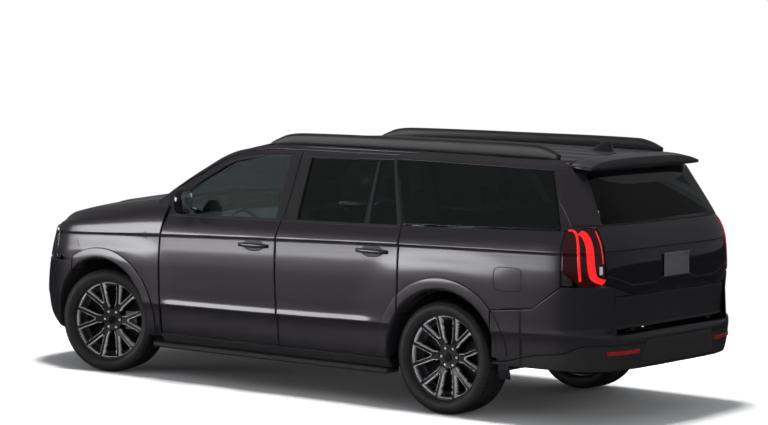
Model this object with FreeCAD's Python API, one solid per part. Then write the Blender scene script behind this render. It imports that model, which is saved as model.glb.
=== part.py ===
import FreeCAD, Part
import math
import os
from FreeCAD import Vector

# Full-size estate-bodied off-road car on a ladder frame, with a long rear overhang and a split rear gate.
# Millimetres. +X runs forward, +Y to the car's left, +Z up. The origin is on the ground under mid-length.

# Overall sizes
LENGTH = 5636.0
HALF_WIDTH = 1014.5
WHEELBASE = 3343.0
FRONT_OVERHANG = 945.0
NOSE = LENGTH / 2
TAIL = -LENGTH / 2
FRONT_AXLE = NOSE - FRONT_OVERHANG
REAR_AXLE = FRONT_AXLE - WHEELBASE

# Wheels and tyres
TYRE_RADIUS = 407.5
TYRE_WIDTH = 285.0
RIM_RADIUS = 279.0
WHEEL_Y = 861.0
REST_STEER = 13.0
LUG_COUNT = 6
LUG_CIRCLE = 67.5
SPIN_CLEARANCE = 0.05
KINGPIN_Y = 770.0
KINGPIN_RADIUS = 14.0
BALL_CLEARANCE = 0.05

# Wheel arches
ARCH_RADIUS = 485.0
FLARE_RADIUS = 572.0
FLARE_STAND = 9.0
LINER_WALL = 5.0

# Panels
SILL_Z = 292.0
HOOD_HALF = 851.0
DOOR_THICK = 110.0
FRAME_THICK = 45.0
SHUT_GAP = 5.5
SEAT_GAP = 0.3
GLASS_INSET = 12.0
GLASS_THICK = 6.0
PILLAR_DEPTH = 60.0
SEAL_GAP = 6.0

# Door hinges
HINGE_INSET = 30.0
HINGE_BACK = 26.0
HINGE_PIN = 6.0
HINGE_CLEARANCE = 0.05
HINGE_HEIGHTS = (560.0, 960.0)
KNUCKLE_HEIGHT = 50.0
KNUCKLE_RADIUS = 13.0
NOTCH_CLEARANCE = 6.0


def vec(x, y, z):
    return Vector(x, y, z)


def box(x0, x1, y0, y1, z0, z1):
    return Part.makeBox(x1 - x0, y1 - y0, z1 - z0, vec(x0, y0, z0))


def rod(start, end, radius):
    a = Vector(*start)
    d = Vector(*end) - a
    return Part.makeCylinder(radius, d.Length, a, d)


def mirrored(shape):
    return shape.mirror(vec(0, 0, 0), vec(0, 1, 0))


def fused(shapes):
    result = shapes[0].fuse(shapes[1:]) if len(shapes) > 1 else shapes[0]
    return result.removeSplitter()


def biggest(shape):
    return max(shape.Solids, key=lambda s: s.Volume)


def through(points):
    """Smooth curve through (place, value) points: cubic pieces with slopes from the neighbours."""
    pts = sorted(points)
    xs = [p[0] for p in pts]
    ys = [p[1] for p in pts]
    last = len(pts) - 1
    slopes = []
    for i in range(len(pts)):
        a = max(i - 1, 0)
        b = min(i + 1, last)
        slopes.append((ys[b] - ys[a]) / (xs[b] - xs[a]))

    def value(x):
        x = min(max(x, xs[0]), xs[last])
        i = 0
        while i < last - 1 and x > xs[i + 1]:
            i += 1
        h = xs[i + 1] - xs[i]
        t = (x - xs[i]) / h
        a = (1 + 2 * t) * (1 - t) ** 2 * ys[i] + t * (1 - t) ** 2 * h * slopes[i]
        return a + t * t * (3 - 2 * t) * ys[i + 1] + t * t * (t - 1) * h * slopes[i + 1]

    return value


def outline(points):
    """Closed outline in the side view from (x, z) points."""
    return Part.makePolygon([vec(x, 0, z) for x, z in points + points[:1]])


def through_y(shape_wire, y0, y1):
    face = Part.Face(shape_wire)
    face.translate(vec(0, y0, 0))
    return face.extrude(vec(0, y1 - y0, 0))


def through_x(points, x0, x1):
    """Prism along X from (y, z) points."""
    face = Part.Face(Part.makePolygon([vec(x0, y, z) for y, z in points + points[:1]]))
    return face.extrude(vec(x1 - x0, 0, 0))


def grown(shape_wire, distance):
    return shape_wire.makeOffset2D(distance, 2)


# Body surface: feature lines along the side, the nose and the tail in side view
shoulder_z = through([(2600, 1068), (1260, 1122), (460, 1150), (-1080, 1194), (-2700, 1222)])
belt_z = through([(1500, 1268), (570, 1285), (-1070, 1314), (-2700, 1364)])
crease_z = through([(1300, 580), (60, 595), (-1050, 618), (-2700, 655)])
crown_z = through([(1100, 1395), (1384, 1374), (1757, 1322), (2083, 1272), (2360, 1222), (2640, 1128)])
front_x = through([(290, 2700), (420, 2790), (560, NOSE), (700, 2812), (900, 2765), (1080, 2700), (1240, 2590)])
rear_x = through([(290, -2740), (430, -2795), (560, TAIL), (650, -2812), (690, -2768), (1000, -2780),
                  (1200, -2770), (1360, -2722), (1700, -2512), (1860, -2400)])
FRONT_CORNER = 1950.0
REAR_CORNER = -2150.0
CANT_Z = 1786.0
ROOF_EDGE_Z = 1838.0
ROOF_EDGE_Y = 722.0


def plan_taper(x):
    ahead = max(x - 1000.0, 0.0) / 1450.0
    behind = max(-1500.0 - x, 0.0) / 1000.0
    return 32.0 * ahead ** 2 + 20.0 * behind ** 2


def corner_share(x, z):
    """How much of the half width is left at x, as the plan outline turns the front or rear corner."""
    if x > FRONT_CORNER:
        along = min((x - FRONT_CORNER) / (front_x(z) - FRONT_CORNER), 0.97)
        return (1 - along ** 3.6) ** (1 / 3.0)
    if x < REAR_CORNER:
        along = min((x - REAR_CORNER) / (rear_x(z) - REAR_CORNER), 0.97)
        return (1 - along ** 4.5) ** (1 / 4.5)
    return 1.0


def side_rows(x):
    """Heights and flat half widths of the cabin side at x, from the sill to the edge of the roof."""
    crease, shoulder, belt = crease_z(x), shoulder_z(x), belt_z(x)
    glass = CANT_Z - belt
    return [(SILL_Z, 950.0), (370.0, 981.0), (crease - 25, 997.0), (crease + 20, 1002.5),
            (crease * 0.4 + shoulder * 0.6, 1001.0), (shoulder - 14, HALF_WIDTH - 4), (shoulder + 6, HALF_WIDTH - 3),
            ((shoulder + belt) / 2, 998.0), (belt - 8, 972.0), (belt + 12, 961.0),
            (belt + glass * 0.35, 905.0), (belt + glass * 0.68, 845.0), (CANT_Z, 780.0),
            (ROOF_EDGE_Z, ROOF_EDGE_Y)]


LOW_ROWS = 9
INNER_ROWS = (0, 3, 6, 8, 9, 12, 13)
DEEP = 40.0


FENDER_INNER_Y = HOOD_HALF + SHUT_GAP
FENDER_TOP_Y = FENDER_INNER_Y + 20.0


def fender_rows(x):
    """Heights and flat half widths of the front wing at x, from the sill to the seam of the hood."""
    crease, shoulder, crown = crease_z(x), shoulder_z(x), crown_z(x)
    return [(SILL_Z, 950.0), (370.0, 981.0), (crease - 25, 997.0), (crease + 20, 1002.5),
            (crease * 0.4 + shoulder * 0.6, 1001.0), (shoulder - 14, HALF_WIDTH - 4), (shoulder + 6, HALF_WIDTH - 3),
            ((shoulder + crown) / 2, 996.0), (crown - 52, 960.0), (crown - 16, 915.0), (crown, FENDER_TOP_Y)]


def flat_width(rows, z):
    """Half width at a height, between the rows."""
    if z <= rows[0][0]:
        return rows[0][1]
    for (za, wa), (zb, wb) in zip(rows, rows[1:]):
        if z <= zb:
            return wa + (wb - wa) * (z - za) / (zb - za)
    return rows[-1][1]


def surface_y(x, z):
    rows = fender_rows(x) if x > FRONT_CORNER else side_rows(x)
    return (flat_width(rows, z) - plan_taper(x)) * corner_share(x, z)


def polygon(points):
    return Part.makePolygon(points + [points[0]])


def loft(sections):
    return Part.makeLoft(sections, True, True)


def side_wall(x_from, x_to, low_from, low_to, high_from, high_to):
    """Wall along the side between two depths under the outer skin, below and above the window line."""
    between = [x for x in CABIN_STATIONS if min(x_from, x_to) + 20 < x < max(x_from, x_to) - 20]
    stations = [max(x_from, x_to)] + between + [min(x_from, x_to)]
    sections = []
    for x in stations:
        skin = [((w - plan_taper(x)) * corner_share(x, z), z) for z, w in side_rows(x)]
        outer = [vec(x, y - (low_from if k < LOW_ROWS else high_from), z) for k, (y, z) in enumerate(skin)]
        inner = [vec(x, y - (low_to if k < LOW_ROWS else high_to), z) for k, (y, z) in enumerate(skin)]
        if low_to > DEEP:
            inner = [inner[k] for k in INNER_ROWS]
        sections.append(polygon(outer + inner[::-1]))
    return loft(sections)


CABIN_STATIONS = (1500.0, 700.0, -150.0, -1000.0, -1800.0, -2150.0, -2350.0, -2480.0, -2580.0, -2640.0)

# Corners of the plan outline, as superellipses from the side to the middle of the nose or tail
TAIL_START = -1900.0
CORNER_STEPS = 9


def nose_half(z, inset):
    """Plan points of the nose at a height, from the left side to the middle."""
    reach = front_x(z) - FRONT_CORNER
    pts = []
    for k in range(CORNER_STEPS + 1):
        angle = math.radians(90.0 * k / CORNER_STEPS)
        along = math.cos(angle) ** (2 / 3.6) if k < CORNER_STEPS else 0.0
        across = math.sin(angle) ** (2 / 3.0)
        x = FRONT_CORNER + reach * along
        width = flat_width(fender_rows(min(x, 2500.0)), z) - plan_taper(min(x, 2500.0))
        pts.append((x - inset * along, (width - inset) * across))
    return pts[::-1]


def tail_half(z, inset):
    """Plan points of the tail at a height, from the left side to the middle."""
    reach = rear_x(z) - REAR_CORNER
    pts = []
    for k in range(CORNER_STEPS + 1):
        angle = math.radians(90.0 * k / CORNER_STEPS)
        along = math.cos(angle) ** (2 / 4.5) if k < CORNER_STEPS else 0.0
        across = math.sin(angle) ** (2 / 4.5)
        x = REAR_CORNER + reach * along
        width = flat_width(side_rows(x), z) - plan_taper(x)
        pts.append((x + inset * along, (width - inset) * across))
    pts.append((TAIL_START, surface_y(TAIL_START, z) - inset))
    return pts[::-1]


def shell_wire(half, z, outer_inset, inner_inset):
    outer = half(z, outer_inset)
    inner = half(z, inner_inset)
    loop = [vec(x, y, z) for x, y in outer] + [vec(x, -y, z) for x, y in outer[-2::-1]]
    back = [vec(x, -y, z) for x, y in inner] + [vec(x, y, z) for x, y in inner[-2::-1]]
    return polygon(loop + back)


def corner_shell(half, heights, outer_inset, inner_inset):
    return loft([shell_wire(half, z, outer_inset, inner_inset) for z in heights])


# Openings and shut lines in the side view
FRONT_DOOR = [(1230, 362), (1240, 700), (1240, 1060), (1199, 1288), (1172, 1447), (944, 1597), (672, 1743),
              (420, 1800), (13, 1812), (24, 1500), (42, 1345), (74, 1190), (81, 1020), (79, 800), (66, 560),
              (54, 362)]
REAR_DOOR = [(48, 362), (60, 560), (73, 800), (75, 1020), (68, 1190), (36, 1345), (18, 1500), (7, 1812),
             (-872, 1812), (-960, 1600), (-1058, 1370), (-1077, 1250), (-1077, 362)]
DOORWAY = FRONT_DOOR[:9] + [(-872, 1812), (-960, 1600), (-1058, 1370), (-1077, 1250), (-1077, 362)]
FRONT_WINDOW = [(1120, 1288), (1098, 1420), (915, 1558), (655, 1702), (430, 1753), (112, 1768), (118, 1300)]
REAR_WINDOW = [(-93, 1770), (-88, 1304), (-1030, 1322), (-856, 1782)]
QUARTER_WINDOW = [(-905, 1779), (-1098, 1328), (-2438, 1366), (-2262, 1764)]
BODY_OUTLINE = [(1330, SILL_Z), (1330, 1368), (1184, 1475), (957, 1623), (683, 1771), (383, 1850), (-2352, 1850),
                (-2424, 1718), (-2620, 1396), (-2470, 1392), (-2470, 990), (-2250, 822), (-1900, 790),
                (-1900, SILL_Z)]
FENDER_OUTLINE = [(1246, 330), (1246, 1062), (1206, 1290), (1200, 1400), (2480, 1400), (2420, 1150), (2392, 862),
                  (2180, 800), (2100, 330)]
BUMPER_OUTLINE = [(-1904, 300), (-1904, 786), (-2250, 818), (-2474, 986), (-2830, 986), (-2830, 300)]
RING_STEP = 55.0
DOOR_SKIN = 12.0
DOOR_STEP = 14.0
RING_FROM = DOOR_THICK + SEAL_GAP
RING_TO = RING_FROM + PILLAR_DEPTH
FRAME_RING_FROM = FRAME_THICK + SEAL_GAP
FRAME_RING_TO = FRAME_RING_FROM + 40.0
FAR = 1200.0
HINGE_Y = 1003.0 - HINGE_INSET


def left_prism(points):
    return through_y(outline(points), 300.0, FAR)


def arch(axle, radius, y0=300.0, y1=FAR):
    return Part.makeCylinder(radius, y1 - y0, vec(axle, y0, TYRE_RADIUS), vec(0, 1, 0))


def door_shell(points, window):
    """Door with a thin overlapping outer skin, a stepped-in body and a cut window."""
    ends = (max(x for x, z in points) + 30, min(x for x, z in points) - 30)
    skin = side_wall(*ends, 0, DOOR_SKIN, 0, DOOR_SKIN).common(left_prism(points))
    inner_edge = through_y(grown(outline(points), -DOOR_STEP), 300.0, FAR)
    body = side_wall(*ends, DOOR_SKIN, DOOR_THICK, DOOR_SKIN, FRAME_THICK).common(inner_edge)
    return biggest(skin.fuse(body).cut(left_prism(window)))


def swing_relief(front_edge, axis_x, inner=False):
    """Turned space that the front edge of a door sweeps about its hinge line, at its skin or its inner corner."""
    profile = [vec(axis_x, HINGE_Y, front_edge[0][1])]
    for x, z in front_edge:
        reach = math.hypot(x - axis_x, surface_y(x, z) - HINGE_Y) + SHUT_GAP
        if inner:
            reach = math.hypot(x - DOOR_STEP - axis_x, HINGE_Y - surface_y(x, z) + DOOR_THICK) + SHUT_GAP
        profile.append(vec(axis_x + reach, HINGE_Y, z))
    profile.append(vec(axis_x, HINGE_Y, front_edge[-1][1]))
    face = Part.Face(polygon(profile))
    return face.revolve(vec(axis_x, HINGE_Y, 0), vec(0, 0, 1), 360.0)


def door_with_pins(shell, axis_x, front_x_limit):
    for height in HINGE_HEIGHTS:
        half = KNUCKLE_HEIGHT / 2 + NOTCH_CLEARANCE
        notch = box(axis_x - KNUCKLE_RADIUS - NOTCH_CLEARANCE, front_x_limit, 600.0,
                    HINGE_Y + KNUCKLE_RADIUS + 2, height - half, height + half)
        pin = rod((axis_x, HINGE_Y, height - half - 12), (axis_x, HINGE_Y, height + half + 12), HINGE_PIN)
        shell = shell.cut(notch).fuse(pin)
    return biggest(shell)


def hinge_arms(axis_x):
    arms = []
    for height in HINGE_HEIGHTS:
        low, high = height - KNUCKLE_HEIGHT / 2, height + KNUCKLE_HEIGHT / 2
        barrel = rod((axis_x, HINGE_Y, low), (axis_x, HINGE_Y, high), KNUCKLE_RADIUS)
        inner_y = surface_y(axis_x, height) - RING_FROM - 10
        arm = box(axis_x - 9, axis_x + 9, inner_y, HINGE_Y, low, high)
        bore = rod((axis_x, HINGE_Y, low - 1), (axis_x, HINGE_Y, high + 1), HINGE_PIN + HINGE_CLEARANCE)
        arms.append(barrel.fuse(arm).cut(bore))
    return arms


def glass_pane(points):
    ends = (max(x for x, z in points) + 30, min(x for x, z in points) - 30)
    depths = (GLASS_INSET, GLASS_INSET + GLASS_THICK)
    return side_wall(*ends, *depths, *depths).common(left_prism(points))


parts = {}

# Side doors: shells with pins, window panes, handles and mirrors
FRONT_EDGE = [(1230, 362), (1240, 700), (1240, 1060), (1199, 1288)]
REAR_EDGE = [(48, 362), (60, 560), (73, 800), (75, 1020), (68, 1190), (46, 1300)]
front_axis_x = 1240.0 - 8 - HINGE_BACK
rear_axis_x = 48.0 - HINGE_BACK
front_relief = swing_relief(FRONT_EDGE, front_axis_x)
rear_relief = swing_relief(REAR_EDGE, rear_axis_x)
pillar_relief = swing_relief(REAR_EDGE, rear_axis_x, inner=True)
wheel_cut_rear = arch(REAR_AXLE, ARCH_RADIUS)
wheel_cut_front = arch(FRONT_AXLE, ARCH_RADIUS)

front_shell = door_shell(FRONT_DOOR, FRONT_WINDOW)
rear_shell = door_shell(REAR_DOOR, REAR_WINDOW)
divider = side_wall(-600.0, -850.0, 8, FRAME_THICK, 8, FRAME_THICK).common(
    left_prism([(-715, 1290), (-745, 1290), (-738, 1800), (-712, 1800)]))
rear_shell = rear_shell.fuse(divider).cut(wheel_cut_rear)
front_shell = front_shell.cut(rear_relief)
front_door = door_with_pins(front_shell, front_axis_x, 1300.0)
rear_door = door_with_pins(biggest(rear_shell), rear_axis_x, 120.0)


def handle(x0, x1, z):
    """Strap handle over a shallow cup."""
    mid_x = (x0 + x1) / 2
    skin = surface_y(mid_x, z)
    grip = box(x0, x1, skin + 14, skin + 26, z - 13, z + 13)
    grip = grip.makeChamfer(5, grip.Edges)
    feet = [box(x - 14, x + 14, skin - 20, skin + 18, z - 10, z + 10) for x in (x0 + 20, x1 - 20)]
    return grip.fuse(feet)


def handle_cup(x, z):
    return rod((x - 55, surface_y(x, z) + 30, z), (x + 55, surface_y(x, z) + 30, z), 50)


front_door = biggest(front_door.cut(handle_cup(290, 1100)).fuse(handle(165, 415, 1100)))
rear_door = biggest(rear_door.cut(handle_cup(-840, 1130)).fuse(handle(-965, -715, 1130)))

front_glass = biggest(glass_pane(FRONT_WINDOW))
rear_glass_parts = glass_pane(REAR_WINDOW).cut(divider)

mirror_head = Part.makeLoft([
    Part.makePolygon([vec(x, y, z) for y, z in ((1010, 1320), (1170, 1300), (1185, 1440), (1165, 1480),
                                                (1010, 1470), (1010, 1320))])
    for x in (868.0, 985.0)], True, True)
mirror_head = mirror_head.makeChamfer(14, mirror_head.Edges)
mirror_foot = box(900, 1020, 935, 1030, 1322, 1352)
mirror = biggest(mirror_head.fuse(mirror_foot).cut(front_door).cut(front_glass))

for side, turn in (("left", lambda s: s), ("right", mirrored)):
    parts["door_front_" + side] = turn(front_door)
    parts["door_rear_" + side] = turn(rear_door)
    parts["glass_front_" + side] = turn(front_glass)
    parts["glass_rear_" + side] = turn(rear_glass_parts)
    parts["mirror_" + side] = turn(mirror)


# Roof panel with long ribs, and the rails on it
ROOF_THICK = 28.0
ROOF_REAR = -2352.0
RIB_HEIGHT = 5.0
RIB_YS = (150.0, 330.0, 510.0)


def roof_centre(x):
    return 1887.0 - 6.0e-6 * (x + 500.0) ** 2 - 1.55e-4 * max(x, 0.0) ** 2


def roof_z(x, y):
    crown = 46.0 - 28.0 * (max(x, 0.0) / 440.0) ** 2
    return roof_centre(x) - crown * (abs(y) / 716.0) ** 2.4


def roof_section(x):
    top = [vec(x, 716, roof_z(x, 716)), vec(x, 640, roof_z(x, 640))]
    for rib in RIB_YS[::-1]:
        for y, up in ((rib + 28, 0), (rib + 20, RIB_HEIGHT), (rib - 20, RIB_HEIGHT), (rib - 28, 0)):
            top.append(vec(x, y, roof_z(x, y) + up))
    top += [vec(x, -p.y, p.z) for p in top[::-1]]
    low = [vec(x, y, roof_z(x, y) - ROOF_THICK) for y in (-716, -500, -250, 0, 250, 500, 716)]
    return polygon(top + low)


roof = loft([roof_section(x) for x in (440.0, 0.0, -700.0, -1400.0, -2000.0, ROOF_REAR)])


# Windscreen between the front pillars, and the rear header with the hinge arms of the gate
SCREEN_SIDE = [(1340, 1370), (1184, 1475), (957, 1623), (683, 1771), (395, 1846)]
SCREEN_EDGE_Y = (812.0, 775.0, 752.0, 722.0, 690.0)
SCREEN_BOW = (105.0, 100.0, 92.0, 80.0, 52.0)
SCREEN_DEPTH = (13.0, 13.0, 14.0, 20.0, 28.0)


def screen_section(k):
    x, z = SCREEN_SIDE[k]
    half = SCREEN_EDGE_Y[k]
    bow = SCREEN_BOW[k]
    steps = [1.0, 0.8, 0.5, 0.0, -0.5, -0.8, -1.0]
    top = [vec(x + bow * (1 - t * t), half * t, z) for t in steps]
    low = [vec(p.x - SCREEN_DEPTH[k], p.y, z) for p in top[::-1]]
    return polygon(top + low)


screen = loft([screen_section(k) for k in range(len(SCREEN_SIDE))])
roof_front = [vec(SCREEN_SIDE[-1][0] - 32 + SCREEN_BOW[-1] * (1 - t * t), SCREEN_EDGE_Y[-1] * t, 1700)
              for t in (-1.05, -0.8, -0.5, 0.0, 0.5, 0.8, 1.05)]
ahead_of_roof = Part.Face(polygon(roof_front + [vec(600, 724, 1700), vec(600, -724, 1700)])).extrude(vec(0, 0, 300))
roof = roof.cut(ahead_of_roof)

# Body sides: pillars, sills, rear quarters and the flange ring that the doors close on. The foot of the rear
# pillar is cut back inside, where the corner of the lift gate swings out past it.
GATE_HALF = 795.0
BELT_BREAK_Z = 1390.0
GATE_SWING_RISE = 62.0
gate_swing = box(-2700, -2490, 0, GATE_HALF + SHUT_GAP, BELT_BREAK_Z - 20, BELT_BREAK_Z + GATE_SWING_RISE)


def body_side():
    shape = side_wall(1330.0, -2640.0, 0, RING_TO, 0, FRAME_RING_TO).common(left_prism(BODY_OUTLINE))
    pocket = side_wall(1280.0, -1120.0, -30, RING_FROM, -30, FRAME_RING_FROM)
    shape = shape.cut(pocket.common(through_y(grown(outline(DOORWAY), SHUT_GAP), 300.0, FAR)))
    for points in (FRONT_DOOR, REAR_DOOR):
        shape = shape.cut(through_y(grown(outline(points), -RING_STEP), 300.0, FAR))
    wing_seat = side_wall(1400.0, 1200.0, -30, RING_FROM, -30, RING_FROM)
    wing_foot = left_prism([(1205, 250), (1205, 1292), (1330, 1372), (1400, 1372), (1400, 250)])
    shape = shape.cut(wing_seat.common(wing_foot))
    shape = shape.cut(left_prism(QUARTER_WINDOW))
    shape = shape.cut([roof, front_relief, rear_relief, pillar_relief, arch(REAR_AXLE, ARCH_RADIUS)])
    shape = shape.cut([screen, gate_swing])
    for axis_x in (front_axis_x, rear_axis_x):
        shape = shape.fuse(hinge_arms(axis_x))
    return biggest(shape)


left_side = body_side()
quarter = glass_pane(QUARTER_WINDOW)
parts["body_sides"] = Part.makeCompound([left_side, mirrored(left_side)])
parts["glass_quarter"] = Part.makeCompound([quarter, mirrored(quarter)])
parts["roof"] = roof
parts["windscreen"] = screen


# Front wings
def fender_section(x):
    skin = [((w - plan_taper(x)) * corner_share(x, z), z) for z, w in fender_rows(x)]
    share = corner_share(x, crown_z(x))
    top_y = (FENDER_INNER_Y - plan_taper(x)) * share
    outer = [vec(x, y, z) for y, z in skin]
    inner = [vec(x, max(y - DOOR_THICK, top_y - 30), z) for y, z in skin[:8]]
    inner += [vec(x, top_y, skin[9][1] - 40), vec(x, top_y, skin[10][1])]
    return polygon(outer + inner[::-1])


FENDER_STATIONS = (1241.0, 1400.0, 1600.0, 1800.0, 1950.0, 2083.0, 2200.0, 2300.0, 2400.0, 2480.0)
fender = loft([fender_section(x) for x in FENDER_STATIONS]).common(left_prism(FENDER_OUTLINE))
fender = fender.cut([front_relief, arch(FRONT_AXLE, ARCH_RADIUS), left_side])
fender = biggest(fender)
parts["fenders"] = Part.makeCompound([fender, mirrored(fender)])


# Hood, hinged at the cowl
HOOD_THICK = 26.0
HOOD_REAR = 1392.0
HOOD_BOW = 110.0
HOOD_CROWN = 52.0
HOOD_AXIS_X = 1450.0
HOOD_HINGE_Y = 690.0


def hood_section(x):
    half = (HOOD_HALF - plan_taper(x)) * corner_share(x, crown_z(x))
    steps = (1.0, 0.86, 0.7, 0.42, 0.36, 0.0, -0.36, -0.42, -0.7, -0.86, -1.0)
    dome = (0, 0, 0, 0, 9.0, 9.0, 9.0, 0, 0, 0, 0)
    top = [vec(x, half * t, crown_z(x) + HOOD_CROWN * (1 - t * t) + up) for t, up in zip(steps, dome)]
    low = [vec(x, half * t, crown_z(x) + HOOD_CROWN * (1 - t * t) - HOOD_THICK) for t in steps[::-2]]
    return polygon(top + low)


HOOD_STATIONS = (HOOD_REAR - 12.0, 1500.0, 1700.0, 1950.0, 2083.0, 2200.0, 2300.0, 2400.0, 2500.0, 2580.0, 2640.0)
hood = loft([hood_section(x) for x in HOOD_STATIONS])
nose_plan = Part.makePolygon([vec(x, y, 900) for x, y in nose_half(1150.0, 36.0)]
                             + [vec(x, -y, 900) for x, y in nose_half(1150.0, 36.0)[::-1]]
                             + [vec(1300, -900, 900), vec(1300, 900, 900)]
                             + [vec(*nose_half(1150.0, 36.0)[0], 900)])
hood = biggest(hood.common(Part.Face(nose_plan).extrude(vec(0, 0, 700))))
rear_bow = [vec(HOOD_REAR + HOOD_BOW * (1 - t * t), HOOD_HALF * t, 1200)
            for t in (-1.0, -0.75, -0.4, 0, 0.4, 0.75, 1.0)]
behind_bow = Part.Face(polygon([vec(1300, -870, 1200), vec(HOOD_REAR, -870, 1200)] + rear_bow
                               + [vec(HOOD_REAR, 870, 1200), vec(1300, 870, 1200)]))
hood = hood.cut(behind_bow.extrude(vec(0, 0, 400)))
HOOD_PIN_DROP = 20.0
hood_under = crown_z(HOOD_AXIS_X) + HOOD_CROWN * (1 - (HOOD_HINGE_Y / HOOD_HALF) ** 2) - HOOD_THICK
HOOD_AXIS_Z = hood_under - HOOD_PIN_DROP
LUG_THICK = 10.0
COWL_Z = 1280.0
COWL_THICK = 12.0
cowl_arms = []
for y in (-HOOD_HINGE_Y, HOOD_HINGE_Y):
    half = KNUCKLE_HEIGHT / 2
    room = half + NOTCH_CLEARANCE
    lugs = [box(HOOD_AXIS_X - 11, HOOD_AXIS_X + 11, y0, y0 + LUG_THICK, HOOD_AXIS_Z - 10, hood_under + 12)
            for y0 in (y - room - LUG_THICK, y + room)]
    pin = rod((HOOD_AXIS_X, y - room - 8, HOOD_AXIS_Z), (HOOD_AXIS_X, y + room + 8, HOOD_AXIS_Z), HINGE_PIN)
    hood = hood.fuse(lugs + [pin])
    barrel = rod((HOOD_AXIS_X, y - half, HOOD_AXIS_Z), (HOOD_AXIS_X, y + half, HOOD_AXIS_Z), 11.0)
    leg = box(HOOD_AXIS_X - 9, HOOD_AXIS_X + 9, y - half, y + half, COWL_Z + 6, HOOD_AXIS_Z)
    bore = rod((HOOD_AXIS_X, y - room, HOOD_AXIS_Z), (HOOD_AXIS_X, y + room, HOOD_AXIS_Z),
               HINGE_PIN + HINGE_CLEARANCE)
    cowl_arms.append(barrel.fuse(leg).cut(bore))
hood = biggest(hood)

# Nose: bumper, grille and lamps cut from one rounded shell
NOSE_LOW = 300.0
LAMP_LOW = 862.0
LAMP_HIGH = 1118.0
LAMP_INNER_Y = 640.0
GRILLE_LOW = 764.0
GRILLE_HALF = LAMP_INNER_Y - 6.0
bumper_shell = corner_shell(nose_half, (NOSE_LOW, 360.0, 430.0, 560.0, 700.0, 780.0, 856.0), 0.0, 75.0)
bumper_front = bumper_shell.cut([
    box(1900, 2900, -GRILLE_HALF - SEAT_GAP, GRILLE_HALF + SEAT_GAP, GRILLE_LOW - 6, 900),
    box(2400, 2900, -560, 560, 410, 560),
    box(1900, 2188, -1100, 1100, 250, 900),
    box(1900, 2392, -1100, 1100, 796, 900),
    arch(FRONT_AXLE, ARCH_RADIUS, -FAR, FAR)])
bumper_front = biggest(bumper_front)
upper_shell = corner_shell(nose_half, (GRILLE_LOW, 860.0, 940.0, 1020.0, 1080.0, LAMP_HIGH), 14.0, 74.0)
grille = upper_shell.common(box(1900, 2900, -GRILLE_HALF, GRILLE_HALF, GRILLE_LOW, LAMP_HIGH))
SLOTS = 5
slot_pitch = (LAMP_HIGH - GRILLE_LOW - 60.0) / SLOTS
grille = biggest(grille.cut([
    box(2300, 2900, sign * 305 - 285, sign * 305 + 285, GRILLE_LOW + 38 + k * slot_pitch,
        GRILLE_LOW + 38 + k * slot_pitch + slot_pitch * 0.62)
    for k in range(SLOTS) for sign in (-1, 1)]))
lamp_shell = corner_shell(nose_half, (LAMP_LOW, 940.0, 1020.0, 1080.0, LAMP_HIGH), 2.0, 90.0)
lamp = biggest(lamp_shell.common(box(2396, 2900, LAMP_INNER_Y, 1100, LAMP_LOW, LAMP_HIGH)).cut(fender))
parts["bumper_front"] = bumper_front
parts["grille"] = grille
parts["headlamps"] = Part.makeCompound([lamp, mirrored(lamp)])

# Tail: bumper with a step, lamps, fold-down tailgate and lift gate with its glass and spoiler
GATE_LOW_Z = 690.0
GATE_SPLIT_Z = 920.0
TAILGATE_HALF = 712.0
TAIL_LAMP_Y = GATE_HALF + SHUT_GAP
GATE_THICK = 100.0
bumper_heights = (400.0, 440.0, 500.0, 560.0, 640.0, 690.0, 760.0, 850.0, 986.0)
tail_shell = corner_shell(tail_half, bumper_heights, 0.0, 80.0)
both_sides = through_y(outline(BUMPER_OUTLINE), -FAR, FAR)
bumper_rear = tail_shell.common(both_sides).cut([
    box(-2900, -2300, -TAILGATE_HALF - SHUT_GAP, TAILGATE_HALF + SHUT_GAP, 655, 1100),
    box(-2900, -2500, -TAIL_LAMP_Y, TAIL_LAMP_Y, GATE_SPLIT_Z - 4, 1100),
    arch(REAR_AXLE, ARCH_RADIUS, -FAR, FAR), left_side, mirrored(left_side)])
bumper_rear = biggest(bumper_rear)
parts["bumper_rear"] = bumper_rear

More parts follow.
